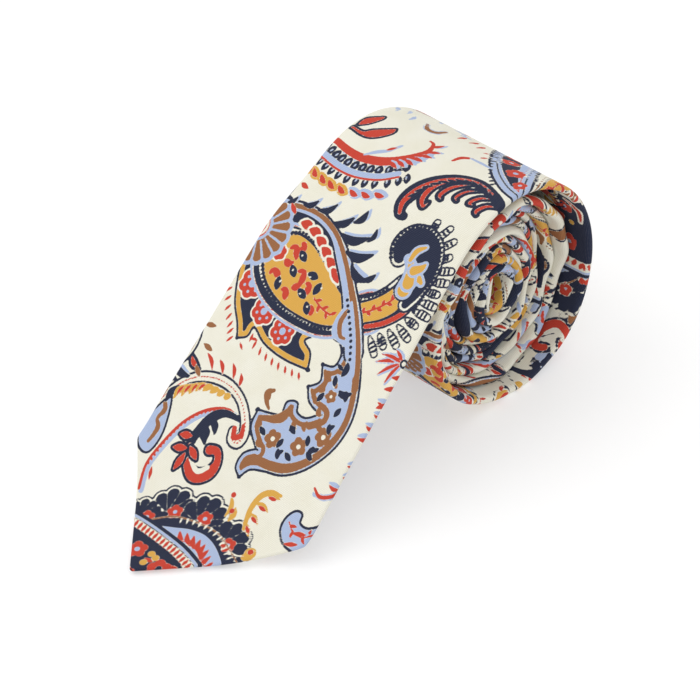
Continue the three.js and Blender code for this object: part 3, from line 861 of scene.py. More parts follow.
brush([(u + 0.6, a - 0.8, r + 0.1) for u, a, r in body[:6]], (1.4, CREAM))
brush(body, (2.2, NAVY), (1.6, CREAM), (0.65, NAVY), (0, GOLD))
upper = [(-31, 50.6), (-25.6, 57), (-17, 61.3), (-8, 62.4), (1, 61.2), (8, 57.4), (14, 54.2),
         (19.4, 50.8)]
lower = [(-26, 41.2), (-20, 39.2), (-12, 42.4), (-5, 45.8), (1, 48.4), (8, 48.4), (13, 45.6),
         (16.6, 41.8)]
for line in (upper, lower):
    comb(line, 1.3, 90 if line is upper else -90, 1.0, 0.62, (0.1, NAVY))
for u, a, degrees in along([(-24, 36.6), (-16, 37.8), (-9, 41.2), (-2, 45.4)], 4.2):
    leaf(u - 2.4, a - 0.6, degrees, 5, 3.2, (0.7, CREAM), (0, RED), bend=-0.1)
flower(-26.3, 47.4, 2.5, 6, RED, CREAM, rim=CREAM)
for u, a, degrees, long in ((-25, 52.4, 30, 4.2), (-21.6, 43, 60, 4.6), (-17, 56, 70, 3.6),
                            (-14, 48.6, 80, 5), (-9.4, 51.6, 100, 4), (-20.2, 49.6, 200, 3),
                            (-13, 53.6, 150, 3), (-5.6, 57, 60, 3), (-18.6, 41.6, 100, 3.2)):
    leaf(u, a, degrees, long, 2.6, (0, RED))
    leaf(u, a, degrees + 75, long * 0.6, 1.7, (0, RED))
for u, a, degrees in ((-18.4, 50.2, 40), (-11.6, 55.4, 20), (-20.6, 55.2, 70), (-18, 45, 30),
                      (-11.2, 49.6, 0), (-5.4, 50.8, 100), (-6.8, 57.8, 50)):
    leaf(u - 1, a - 0.8, degrees, 3.4, 2.2, (0.15, NAVY))
    dot(u, a, 0.4, CREAM)
vein([(-6, 54.6), (-2, 56), (2.4, 56.6)], 1.9, 2.6, RED, 0.6)
vein([(11.6, 52), (15.6, 48.8), (19, 44.8), (20.8, 41.4)], 1.8, 2.0, RED, 0.6)
shape([(-41, 30), (-26, 31.6), (-15, 31.4), (-5, 36), (3, 44), (12, 53.4), (19, 62), (13, 62), (7, 56),
       (1, 48), (-8, 39.2), (-18, 34.6), (-30, 34.8), (-41, 39)], (-0.3, NAVY))
tail_line = [(-41, 38.6), (-36, 35.4), (-29, 32.6), (-20, 31.9), (-11, 34.6), (-3, 40.4), (4, 47.2),
             (11, 55), (17, 63)]
brush([(u, a, 0.7 + 0.8 * (i > 4) + 0.7 * (i > 6)) for i, (u, a) in enumerate(tail_line)], (1.35, NAVY),
      (0.7, BLUE))
brush([(u + 0.5, a - 0.4, 0.8) for u, a in tail_line[:8]], (0, BROWN))
shape([(6.4, 61.2), (5, 57), (5.8, 52.6), (8, 49.4), (13.6, 55.6), (17, 62), (12, 62.6)], (0, BLUE))
brush([(7.4, 53, 0.7), (7.2, 57, 0.9), (9.4, 60.4, 0.7), (11.6, 60.6, 0.4)], (0, BROWN))
brush([(20, 69, 1.2), (17.2, 63, 2.7), (13.6, 57.6, 2.1), (9.4, 52.6, 1.2)], (0, BLUE))
brush([(24, 72, 0.9), (20.2, 65, 0.9), (15.4, 58, 0.8), (9, 50.4, 0.7), (2, 43.6, 0.6)], (0, BROWN))
beads([(17.4, 66), (14.2, 60.6), (10.2, 55.6), (4.4, 49)], 1.9, 0.5, NAVY)
leaf(18.2, 69.6, 250, 3.4, 1.9, (0, NAVY))
leaf(16.4, 69, 200, 2.4, 1.2, (0, NAVY))
print("strokes so far:", len(drawing))

# %% [markdown]
# ## The fan and the feathers
# A shell-shaped fan fills the corner beside the drop, and navy feathers with blue shadows stream
# under it. The fan's ribs are brushes at equal angles about one centre, first all in blue and then
# in brown, and red rings at the centre tie them together.

# %% The fan and the feathers
for width, ink in ((1.3, BLUE), (0, BROWN)):
    for k in range(8):
        c, s = turn(-66 + 21 * k)
        brush([(-38, 43.6, 0.8), (-38 + 9.6 * c, 43.6 + 9.6 * s, 1.75)], (width, ink))
for k in range(8):
    c, s = turn(-55.5 + 21 * k)
    brush([(-38 + 5 * c, 43.6 + 5 * s, 0.35), (-38 + 11 * c, 43.6 + 11 * s, 0.45)], (0, BLUE))
dot(-38.6, 43, 5.2, BLUE)
for radius in (4.2, 2.9, 1.6):
    dot(-38.6, 43, radius, RED)
    dot(-38.6, 43, radius - 0.5, CREAM)
feathers = [(-33.5, 32.6, -42, 4, 1.6), (-27, 31, -34, 5.4, 1.8), (-21, 30.4, -36, 7, 2.0),
            (-13, 31.6, -36, 7, 2.4), (-8.5, 33.6, -16, 10, 2.8), (-3.6, 37.6, -18, 9.6, 2.9)]
feathers += [(0.6, 40.6, 14, 8, 2.6), (-6.4, 28.6, -62, 5.4, 2.2), (1.4, 31.8, -78, 4.6, 1.6),
             (6.8, 42.6, -44, 4.4, 1.9)]
for u, a, degrees, long, wide in feathers:
    leaf(u + 1, a - 0.9, degrees - 4, long, wide, (0.1, BLUE), bend=0.16)
    leaf(u, a, degrees, long, wide, (0, NAVY), bend=0.16)
print("strokes so far:", len(drawing))

# %% [markdown]
# ## The hook with lace loops
# A gold and blue stem in a heavy navy hook closes the drop on the right. Lace loops stand on the
# hook's back: each is a thin brush in navy with a thinner one in cream inside, and short strokes
# across it make the ladder.

# %% The navy hook with lace loops
back = [(18, 57.6), (23, 53.4), (27, 48), (28.8, 41), (29, 34), (27.4, 27), (23, 22), (17.4, 20.6)]
for i, (u, a, degrees) in enumerate(along(back, 3.3)):
    long = 5.6 - 1.6 * (i % 3 == 1)
    c, s = turn(degrees + 78)
    loop = [(u, a, 0.4), (u + c * long * 0.5, a + s * long * 0.5, 1.1), (u + c * long, a + s * long, 1.0)]
    brush(loop, (0.25, NAVY), (-0.18, CREAM))
    for share in (0.35, 0.6, 0.85):
        leaf(u + c * long * share + s * 1.1, a + s * long * share - c * 1.1, degrees + 170, 2.2, 0.55,
             (0, NAVY))
brush([(16, 54.4, 0.4), (21, 51, 0.5), (25.4, 45.6, 0.5), (27.2, 40, 0.4)], (0.9, NAVY), (0.3, RED))
hooked = [(24.6, 43, 1.0), (25.4, 38, 2.2), (25, 31, 3.6), (22, 26, 4.6), (17, 25, 4.2), (13.6, 28, 2.8),
          (14.4, 31.4, 1.7)]
brush(hooked, (1.5, NAVY), (0.95, CREAM), (0.1, NAVY))
for u, a, degrees in along([(27.4, 44), (28, 37), (27.8, 30), (24.6, 23.4), (18, 20.8), (12.4, 23.6),
                            (10.9, 28.6), (13, 33)], 1.25, offset=0.35):
    leaf(u, a, degrees + 90, 1.1, 0.55, (0.1, NAVY))
brush([(21.6, 39.4, 2.2), (21.8, 35, 1.9), (24, 34.4, 1.2), (26, 35.2, 0.6)], (1.3, NAVY), (0.8, BLUE),
      (0, GOLD))
brush([(21.8, 37, 2.0), (20, 32.4, 1.3), (17.4, 30.6, 0.6)], (0.9, BLUE), (0, GOLD))
brush([(21.4, 33, 1.5), (23.4, 31.4, 1.1), (24.2, 29.8, 0.4)], (0.7, BLUE), (0, GOLD))
brush([(18.4, 30.6, 0.7), (19, 27.4, 0.9), (21.4, 25.2, 0.4)], (0.6, BLUE), (0, GOLD))
for degrees, long in ((158, 9.4), (132, 9), (106, 8.4), (176, 8), (212, 5)):
    leaf(34.4, 58.2, degrees, long, 1.7, (0.25, BLUE), bend=0.06)
    leaf(34, 58.4, degrees, long, 1.2, (0, RED), bend=0.06)
dot(34.6, 58.4, 1.3, NAVY, CREAM)
print("strokes so far:", len(drawing))

# %% [markdown]
# ## The plume
# Below the ridge a navy plume with red branches curls across the blade. The spine and the branches
# are brushes that swell and then taper. The red is narrower than the navy, so that a dark rim stays
# round it.

# %% The plume
spine = [(37.6, 5.6, 0.3), (33, 2.4, 1.0), (28, 0.4, 1.2), (22, -0.9, 1.3), (16, 0.6, 1.4),
         (10.4, 5, 1.9), (6.6, 10.6, 2.3), (5.0, 16, 1.9), (6.2, 19.6, 1.3), (8.2, 20, 0.8)]
brush(spine, (0.5, NAVY))
branches = [
    [(15, 1.6, 0.5), (10.6, 7, 1.3), (10, 12, 1.4), (12, 14.6, 1.0), (12.8, 12.8, 0.7)],
    [(20.6, 0.4, 0.5), (16, 4.4, 1.1), (14.4, 8.6, 1.2), (15.6, 10, 0.7)],
    [(25, 1, 0.4), (21, 3.6, 0.9), (19.4, 7, 1.0), (20.6, 8.2, 0.6)],
    [(30.6, 1.8, 0.4), (26.4, 3.6, 1.0), (24.6, 6.6, 1.1), (26, 7, 0.6)],
    [(34.4, 3.8, 0.4), (30.4, 5, 1.0), (28.6, 8, 1.2), (29.6, 9.4, 0.6)],
]
for points in branches:
    brush(points, (0.4, NAVY), (-0.6, RED))
brush([(u, a, r * 0.45) for u, a, r in spine[2:9]], (0, RED))
comb([(u, a) for u, a, _ in spine[2:8]], 2.6, 205, 3.4, 0.8, (0, NAVY))
print("strokes so far:", len(drawing))

# %% [markdown]
# ## The crescent on the ridge
# A wide crescent lies over the ridge: a red rim, a blue line, two rows of navy scales and a row of
# gold and blue buds. Each row is the rim's own line moved sideways, so that all rows stay parallel
# round the curve.

# %% The crescent and buds on the ridge
arc = [(-44, 0), (-38, 4.6), (-32, 7.6), (-25, 9.4), (-17.6, 9.6), (-10, 7.2), (-4.4, 2.4), (-1.9, -3),
       (-3.4, -7), (-5.6, -7.8)]
brush([(u + 1.2, a + 1.2, 1.4) for u, a in arc[3:8]], (0.6, BLUE))
for u, a, degrees in along(arc[1:8], 3.0, offset=11.2)[1:-4]:
    ink = GOLD if u < -19 else BLUE
    leaf(u, a - 0.5, degrees + 20, 5, 3.6, (0, ink), bend=0.1)
    leaf(u + 0.4, a, degrees + 22, 3.6, 1.9, (0, RED), bend=0.1)
for offset, wide in ((7.6, 1.9), (3.1, 2.3)):
    for u, a, degrees in along(arc[1:7], 2.45, offset=offset):
        leaf(u, a - wide / 2, degrees + 104, 3.0, wide, (0.5, CREAM), (0.1, NAVY))
        leaf(u - 0.1, a - wide / 4, degrees + 104, 1.5, 0.6, (0, BLUE))
for shift, radius, ink in ((5.6, 1.0, BLUE), (6.9, 0.4, RED)):
    line = along(arc[:7], 2.0, offset=shift)
    brush([(u, a, radius) for u, a, _ in line[::2]], (0, ink))
brush([(u, a, r) for (u, a), r in zip(arc, (0.5, 0.9, 1.1, 1.3, 1.5, 1.7, 1.5, 1.0, 0.6, 0.4))], (0, RED))
comb(arc[5:9], 2.4, 52, 4.2, 1.5, (0, RED), shadow=BLUE)
brush([(-29.5, 1.6, 0.5), (-25, 2.0, 0.8), (-21.6, 0.2, 1.9), (-18.6, -3, 1.5), (-18, -5.2, 0.4)],
      (0.55, NAVY), (-0.15, RED))
brush([(-28.6, -0.6, 0.4), (-27.6, -3.4, 1.5), (-26, -6.6, 0.9), (-25.8, -8, 0.3)], (0.55, NAVY),
      (-0.1, RED))
brush([(-18, 8.4, 0.3), (-15, 5.6, 0.7), (-12, 3.2, 0.6), (-10.2, -0.4, 0.5)], (0, BLUE))
leaf(-13, 3.6, -50, 3.4, 1.2, (0, RED))
print("strokes so far:", len(drawing))

# %% [markdown]
# ## The drop past the ridge
# Behind the ridge a long navy and blue drop with flowers runs down the outer turn, beside a gold
# band and loose curls. It is drawn like the gold drop, and short teeth along both sides make its
# fringe.

# %% The drop past the ridge, and curls
drop_body = [(36, -4, 1.8), (30, -7.6, 4.0), (23.6, -13.6, 6.0), (17, -22, 7.0), (10, -32, 6.4),
             (3.6, -41, 4.6), (-1, -48, 2.4)]
brush(drop_body, (1.2, NAVY), (0.5, BLUE), (-1.2, NAVY), (-1.7, BLUE), (-2.6, RED), (-3.1, BLUE))
brush([(29.6, -7.4, 1.0), (22, -14, 2.4), (15.6, -22, 3.0), (9, -32, 2.4), (4, -40, 1.0)], (0, NAVY))
for u, a, radius in ((31, -8.4, 2.2), (24.6, -13.4, 3.0), (17.4, -19.4, 2.8), (12.6, -26.6, 2.6),
                     (7, -34.6, 2.4)):
    flower(u, a, radius, 5, RED, BLUE)
for side in (-1, 1):
    comb([(u, a) for u, a, _ in drop_body[1:6]], 1.9, 90 * side, 1.2, 0.7, (0, NAVY), offset=6.3 * side)
brush([(7.2, -4.6, 0.5), (8, -7.6, 0.8), (10.4, -9.6, 0.5)], (0, RED))
brush([(10, -9.4, 0.4), (14, -9.6, 0.6), (18, -9.4, 0.4)], (0, BLUE))
for u, a in ((11.4, -12), (9, -15.4)):
    leaf(u, a, -60, 2.2, 1.1, (0, RED))
gold_band = [(41, -8, 1.6), (37, -16, 2.4), (32, -26, 3.0), (27, -36, 3.0), (21, -46, 2.2)]
brush(gold_band, (1.8, BROWN), (1.2, CREAM), (0.6, NAVY), (0, GOLD))
vein([(37, -16), (32, -26), (27, -36), (22, -45)], 3.0, 2.2, RED, 0.6)
for k in range(6):
    brush([(44 - 3 * k, -20 - 4 * k, 0.7), (41 - 3 * k, -23 - 4 * k, 1.0),
           (42 - 3 * k, -27 - 4 * k, 0.5)], (0.6, CREAM), (0, BROWN))
brush([(-15, -16, 0.5), (-12, -13, 0.8), (-8.6, -13.6, 0.8), (-8, -17, 0.6)], (0.5, BLUE), (0, BROWN))
for u, a, degrees in ((-24, -16, 240), (-20, -13, 250), (-3, -17, 262), (1, -18, 268), (5, -17, 262),
                      (-16, -22, 240), (-27, -14, 235)):
    leaf(u, a, degrees, 5, 1.5, (0, BLUE if u < -10 else RED), bend=0.1)
brush([(-30, -24, 0.6), (-24, -28, 1.6), (-18, -36, 2.6), (-16, -44, 1.6)], (0.8, NAVY), (0.2, CREAM),
      (-0.4, RED))
flower(-30, -38, 4.4, 6, GOLD, NAVY, rim=BROWN)
vein([(-36, -12), (-33, -20), (-35, -30)], 3.2, 3.4, RED, 0.7)
vein([(-2, -22), (-8, -24), (-12, -30)], 2.8, 3.0, BLUE, 0.7)
for k in range(7):
    leaf(-21 + 1.6 * k, -46 + 1.4 * k, 138, 5.4, 1.5, (0, GOLD), bend=0.1)
flower(-8, -30, 3.4, 5, RED, BLUE, rim=NAVY)
print("strokes so far:", len(drawing))

# %% [markdown]
# ## The strips beside the front
# The parts of the repeat that lie beyond the folds show on the back of the tie and in the roll.
# They get one curl in four colour schemes, with beads and combs along it, and a few flowers. A loop
# over the schemes draws them all.

# %% The strips that lie on the back of the tie
schemes = [(54, 18, 1.0, NAVY, RED), (52, 76, 1.1, BLUE, BROWN), (48, 130, 1.0, GOLD, NAVY),
           (51, -22, 1.0, NAVY, GOLD)]
for u, a, size, first, second in schemes:
    curl = [(u - 6, a - 14, 0.8), (u - 6.5, a - 6, 3.4), (u - 2, a + 3, 6.4), (u + 4, a + 8, 4.6),
            (u + 6, a + 14, 1.8), (u + 3, a + 17, 0.8)]
    curl = [(x, y, r * size) for x, y, r in curl]
    brush(curl, (2.2, NAVY), (1.6, CREAM), (0.9, second), (0, first),
          (-2.4, CREAM if first == NAVY else RED), (-3.0, second))
    beads([(x, y) for x, y, _ in curl], 4.2, 0.8, CREAM if first != GOLD else NAVY)
    comb([(x, y) for x, y, _ in curl], 3.0, 60, 4.6, 1.6, (0, RED), offset=8.5, shadow=BLUE)
    comb([(x, y) for x, y, _ in curl], 3.4, -60, 4.2, 1.8, (0, second), offset=-8.5)
blooms = [(44, 52, 4.0, RED, NAVY), (55, 102, 4.2, RED, CREAM), (45, 104, 3.6, BROWN, BLUE),
          (54, 46, 3.4, BLUE, NAVY), (42, 4, 3.2, GOLD, RED), (56, -2, 3.6, RED, BLUE),
          (46, 156, 4.2, RED, NAVY)]
for u, a, radius, ink, rim in blooms:
    flower(u, a, radius, 6, ink, CREAM, rim=rim)
brush([(40, 84, 1.0), (46, 90, 2.2), (54, 92, 1.8), (60, 88, 0.8)], (0.8, NAVY), (0, BLUE))
brush([(41, 30, 0.8), (46, 36, 2.0), (56, 36, 2.2), (62, 30, 0.8)], (0.8, NAVY), (0, GOLD))
print(len(drawing), "strokes in one repeat")

# %% [markdown]
# ## Printing
# A roller prints the same length again and again, and each repeat lies half a step to the side of
# the last. The strokes are laid down in order. A stroke takes its own ink up to its edge and
# removes the others there.

# %% Print
NAVY_SPREAD = 0.15  # the darkest ink is printed last and soaks furthest
PRINT_SKEW = 0.020  # the blade was cut a little askew of the print
CLEAR = 2.0  # the distance that is given where no stroke is near
MARGIN = 0.6  # how far outside a stroke its distance is still worked out
# copies of the repeat that start further than this beyond the cloth are left out
REACH_ACROSS, REACH_BEFORE, REACH_AFTER = 60, 260, 110


def stroke_distance(p, line, closed):
    """Signed distance from points to a stroke. For a brush it is the distance to the nearest piece
    of its line less the radius there. For an outline the sign comes from how many times the edge is
    crossed on the way out."""
    best = np.full(len(p), 1e9)
    if len(line) == 1:
        return np.hypot(p[:, 0] - line[0, 0], p[:, 1] - line[0, 1]) - line[0, 2]
    ends = np.roll(line, -1, axis=0) if closed else line[1:]
    inside = np.zeros(len(p), bool)
    for a, b in zip(line, ends):
        d = b[:2] - a[:2]
        away = p - a[:2]
        t = np.clip((away @ d) / max(d @ d, 1e-9), 0, 1)
        gap = np.hypot(away[:, 0] - t * d[0], away[:, 1] - t * d[1])
        if closed:
            crosses = (a[1] > p[:, 1]) != (b[1] > p[:, 1])
            inside ^= crosses & (p[:, 0] < a[0] + (p[:, 1] - a[1]) * d[0] / (d[1] if d[1] else 1e-9))
        else:
            gap = gap - (a[2] + t * (b[2] - a[2]))
        best = np.minimum(best, gap)
    return np.where(inside, -best, best) if closed else best


def inks_at(q, a):
    """The distance to the edge of each of the five inks, for places q across and a along. Places
    are sorted along the cloth, so that each stroke looks only at the ones near it."""
    order = np.argsort(a)
    p = np.stack([q[order], a[order]], 1)
    field = np.full((5, len(p)), CLEAR)
    copies = np.array([i * STEP_ACROSS + j * STEP_ALONG for i in range(-4, 5) for j in range(-9, 2)])
    furthest = np.abs(q).max() + REACH_ACROSS
    copies = copies[np.abs(copies[:, 0]) < furthest]
    near_enough = (copies[:, 1] > a.min() - REACH_BEFORE) & (copies[:, 1] < a.max() + REACH_AFTER)
    copies = copies[near_enough]
    for number, (line, closed, layers) in enumerate(drawing):
        layers = [(extra + NAVY_SPREAD * (ink == NAVY), ink) for extra, ink in layers]
        reach = max(extra for extra, _ in layers) + (0 if closed else line[:, 2].max()) + MARGIN
        low, high = line[:, :2].min(0) - reach, line[:, :2].max(0) + reach
        for shift in copies:
            if number < GROUND and not shift.any():
                continue
            first, last = np.searchsorted(p[:, 1], (low[1] + shift[1], high[1] + shift[1]))
            here = p[first:last, 0] - shift[0]
            near = first + np.flatnonzero((here > low[0]) & (here < high[0]))
            if not len(near):
                continue
            d = stroke_distance(p[near] - shift, line, closed)
            for extra, ink in layers:
                own = field[ink, near] if ink != CREAM else None
                field[:, near] = np.maximum(field[:, near], extra - d)
                if ink != CREAM:
                    field[ink, near] = np.minimum(own, d - extra)
    result = np.empty_like(field)
    result[:, order] = field
    return result


INK_NAMES = ("navy", "red", "gold", "blue", "brown")


def print_cloth(obj, q, s):
    """Stores each ink's distance at every vertex, as an attribute with the ink's name."""
    along_print = HINGE_S - s.ravel()
    across_print = q.ravel() - PRINT_SKEW * np.maximum(along_print, 0)
    field = inks_at(across_print, along_print)
    for name, values in zip(INK_NAMES, field):
        ink = obj.data.attributes.new(name, "FLOAT", "POINT")
        ink.data.foreach_set("value", values.astype(np.float32))
    shares = np.round((field < 0).mean(1), 2).tolist()
    print(obj.name, "share of cloth under each ink:", dict(zip(INK_NAMES, shares)))


cloths = [
    (blade_free, q_free, s_free),
    (blade_rolled, q_rolled, s_rolled),
    (neck, q_neck, s_neck),
    (tail, q_tail, s_tail),
    (keeper_loop, q_keeper, s_keeper),
]
for cloth, q, s in cloths:
    print_cloth(cloth, q, s)

# %% [markdown]
# ## Materials
# Cotton, wool and thread don't shine, so each material is a rough surface with a little fabric sheen, and
# its pattern comes from how it was made, with painted shade in the hollows of the weave, the twill's ribs
# and the thread's twist. Colours are written as sRGB hex values and turned to linear by one function. One
# helper adds a node with its settings and links, which keeps each material short enough to read.

# %% Material tools
def srgb(text):
    """An sRGB hex colour as linear RGBA."""
    channels = [int(text[i : i + 2], 16) / 255 for i in (1, 3, 5)]
    return [c / 12.92 if c < 0.04045 else ((c + 0.055) / 1.055) ** 2.4 for c in channels] + [1]


def node(material, kind, links=None, **settings):
    """Adds a node. links gives its inputs by name or number, each a value or another node's output."""
    made = material.node_tree.nodes.new(kind)
    for key, value in settings.items():
        setattr(made, key, value)
    for key, value in (links or {}).items():
        if isinstance(value, bpy.types.NodeSocket):
            material.node_tree.links.new(value, made.inputs[key])
        else:
            made.inputs[key].default_value = value
    return made


def fabric(name, colour, roughness, sheen):
    """A new material, and its shader. Cotton, wool and viscose all have an IOR of about 1.5, but
    loose fibres scatter the light, so that cloth reflects far less than a smooth face would."""
    material = bpy.data.materials.new(name)
    material.use_nodes = True
    shader = material.node_tree.nodes["Principled BSDF"]
    shader.inputs["Base Color"].default_value = srgb(colour)
    shader.inputs["Roughness"].default_value = roughness
    shader.inputs["IOR"].default_value = 1.5
    shader.inputs["Specular IOR Level"].default_value = 0.12
    shader.inputs["Sheen Weight"].default_value = sheen
    shader.inputs["Sheen Roughness"].default_value = 0.5
    return material, shader


# %% [markdown]
# ## Printed cotton
# A tie cotton is a fine plain weave, about 30 threads to a centimetre, printed after weaving. Ink
# soaks a little way along the threads, so a fine noise moves each edge by up to 0.16 mm.
# The weave is a product of two sine waves, one for each direction of thread. It is drawn at 0.5 mm, a
# little coarser than real, so that it shows. It bumps the surface, and it also scales the colour as
# painted shade in the hollows and painted light on the thread tops.

# %% Cotton material
WEAVE = 0.5 * MM
SOAK = 0.16  # how far an ink's edge wanders, in millimetres as the ink distances are
SOAK_GRAIN = 0.6 * MM
PATCH = 9 * MM


def weave_height(material, uv, spacing):
    """Rows of threads both ways: two band textures in the cloth's own UV, multiplied."""
    bands = [
        node(
            material,
            "ShaderNodeTexWave",
            # A wave texture makes 20 / (2 pi) bands to a unit at scale 1.
            {"Vector": uv, "Scale": 2 * math.pi / 20 / spacing, "Distortion": 0.6, "Detail": 1.0,
             "Detail Scale": 1.5},
            bands_direction=direction,
        )
        for direction in ("X", "Y")
    ]
    return node(material, "ShaderNodeMath", {0: bands[0].outputs["Fac"], 1: bands[1].outputs["Fac"]},
                operation="MULTIPLY")


def printed_cotton():
    material, shader = fabric("printed_cotton", "#EFECDC", 0.88, 0.04)
    uv = node(material, "ShaderNodeUVMap", uv_map="cloth").outputs["UV"]
    bleed = node(material, "ShaderNodeTexNoise", {"Vector": uv, "Scale": 1 / SOAK_GRAIN, "Detail": 1.0})
    shift = node(material, "ShaderNodeMapRange", {0: bleed.outputs["Fac"], 3: -SOAK, 4: SOAK})
    patchy = node(material, "ShaderNodeTexNoise", {"Vector": uv, "Scale": 1 / PATCH, "Detail": 2.0})
    cloth = node(
        material,
        "ShaderNodeMix",
        {"Factor": patchy.outputs["Fac"], 6: srgb("#EAE6D2"), 7: srgb("#F4F2E6")},
        data_type="RGBA",
    )
    colour = cloth.outputs[2]
    height = weave_height(material, uv, WEAVE)
    for ink in INK_NAMES:
        place_in = node(material, "ShaderNodeAttribute", attribute_name=ink)
        edge = node(material, "ShaderNodeMath", {0: place_in.outputs["Fac"], 1: shift.outputs[0]},
                    operation="ADD")
        share = node(material, "ShaderNodeMapRange", {0: edge.outputs[0], 1: 0.07, 2: -0.07})
        printed = node(
            material, "ShaderNodeMix", {"Factor": share.outputs[0], 6: colour, 7: srgb(INK_COLOURS[ink])},
            data_type="RGBA"
        )
        colour = printed.outputs[2]
    # Ink is worn off the tops of the threads. The colour is then scaled by the weave's height: painted
    # shade darkens the hollows between threads and painted light brightens their tops.
    worn = node(material, "ShaderNodeMapRange", {0: height.outputs[0], 3: 0.0, 4: 0.07})
    faded = node(material, "ShaderNodeMix", {"Factor": worn.outputs[0], 6: colour, 7: cloth.outputs[2]},
                 data_type="RGBA")
    # Painted shade in the hollows between threads and painted light on their tops, from the weave's
    # height.
    shade = node(material, "ShaderNodeMapRange", {0: height.outputs[0], 3: 0.80, 4: 1.10})
    shaded = node(material, "ShaderNodeVectorMath", {0: faded.outputs[2], 3: shade.outputs[0]},
                  operation="SCALE")
    bump = node(material, "ShaderNodeBump",
                {"Strength": 0.5, "Distance": 0.15 * MM, "Height": height.outputs[0]})
    material.node_tree.links.new(shaded.outputs[0], shader.inputs["Base Color"])
    material.node_tree.links.new(bump.outputs["Normal"], shader.inputs["Normal"])
    return material


INK_COLOURS = {"navy": "#1B2440", "red": "#CB3F2E", "gold": "#DDA94B", "blue": "#AFBFDF",
               "brown": "#9A653F"}
cotton = printed_cotton()
print("cotton nodes:", len(cotton.node_tree.nodes))

# %% [markdown]
# ## The hidden cloths and the threads
# The interlining is brushed wool: soft, matte, with fibres in all directions. The tipping is a navy
# twill, whose slanting ribs are bands across both directions of the cloth, lighter on their crests and
# darker in the grooves as painted light and painted shade. A sewing thread is two plies twisted together,
# and the twist shows as slanting bands along it: painted shade in the grooves between the plies, and the
# thread's own colour on them.

# %% Hidden materials
def brushed_wool():
    material, shader = fabric("brushed_wool", "#DAD5C7", 0.95, 0.4)
    place_in = node(material, "ShaderNodeTexCoord").outputs["Object"]
    fibres = node(material, "ShaderNodeTexNoise",
                  {"Vector": place_in, "Scale": 1 / (0.8 * MM), "Detail": 4.0})
    tone = node(
        material, "ShaderNodeMix",
        {"Factor": fibres.outputs["Fac"], 6: srgb("#C6C0B0"), 7: srgb("#E8E4D8")}, data_type="RGBA"
    )
    bump = node(material, "ShaderNodeBump",
                {"Strength": 0.6, "Distance": 0.3 * MM, "Height": fibres.outputs["Fac"]})
    material.node_tree.links.new(tone.outputs[2], shader.inputs["Base Color"])
    material.node_tree.links.new(bump.outputs["Normal"], shader.inputs["Normal"])
    return material


def navy_twill():
    material, shader = fabric("navy_twill", "#1F2A4D", 0.55, 0.3)
    uv = node(material, "ShaderNodeUVMap", uv_map="cloth").outputs["UV"]
    ribs = node(
        material,
        "ShaderNodeTexWave",
        {"Vector": uv, "Scale": 2 * math.pi / 20 / (0.6 * MM) / math.sqrt(2), "Distortion": 0.3},
        bands_direction="DIAGONAL",
    )
    # The ribs' crests are lighter and the grooves between them darker: painted light and painted shade.
    tone = node(
        material, "ShaderNodeMix",
        {"Factor": ribs.outputs["Fac"], 6: srgb("#18213F"), 7: srgb("#2C3A66")}, data_type="RGBA"
    )
    bump = node(material, "ShaderNodeBump",
                {"Strength": 0.4, "Distance": 0.1 * MM, "Height": ribs.outputs["Fac"]})
    material.node_tree.links.new(tone.outputs[2], shader.inputs["Base Color"])
    material.node_tree.links.new(bump.outputs["Normal"], shader.inputs["Normal"])
    return material


def sewing_thread(name, dark, light):
    material, shader = fabric(name, light, 0.6, 0.2)
    length = node(material, "ShaderNodeAttribute", attribute_name="along")
    turns = node(material, "ShaderNodeMath", {0: length.outputs["Fac"], 1: 2 * math.pi / (0.8 * MM)},
                 operation="MULTIPLY")
    twist = node(material, "ShaderNodeMath", {0: turns.outputs[0]}, operation="SINE")
    share = node(material, "ShaderNodeMapRange", {0: twist.outputs[0], 1: -1.0, 2: 1.0})
    # Bands along the thread: the dark colour is painted shade in the grooves between the twisted plies,
    # and the light one is the thread's own colour.
    tone = node(material, "ShaderNodeMix", {"Factor": share.outputs[0], 6: srgb(dark), 7: srgb(light)},
                data_type="RGBA")
    material.node_tree.links.new(tone.outputs[2], shader.inputs["Base Color"])
    return material


wool = brushed_wool()
twill = navy_twill()
# Each thread gets its painted groove shade first and its own colour second.
cream_thread = sewing_thread("cream_cotton_thread", "#D8D2BC", "#F4F0E2")
navy_thread = sewing_thread("navy_cotton_thread", "#141C33", "#26325A")
print("materials:", [m.name for m in bpy.data.materials])

# %% [markdown]
# ## Joining the pieces to the frame
# Every piece names its finish and the CAD solids it stands for. The free end bends, but its pieces only
# have their placing baked into their meshes and are joined to no body. The blade's bar tack only follows
# the blade's end, and all the other pieces stay with the roll.

# %% Join to the frame
finishes = {
    "printed_cotton": (cotton, [blade_free, blade_rolled, neck, tail, keeper_loop]),
    "interlining": (wool, [wool_free, wool_rolled, wool_tail]),
    "tipping": (twill, [tipping, tail_tipping]),
    "cream_thread": (cream_thread, [slip_free, slip_rolled, neck_stitches, tail_stitches]),
    "navy_thread": (navy_thread, [blade_tack, tail_tack, keeper_near, keeper_far]),
}
for slot, (material, objects) in finishes.items():
    for obj in objects:
        obj.data.materials.append(material)

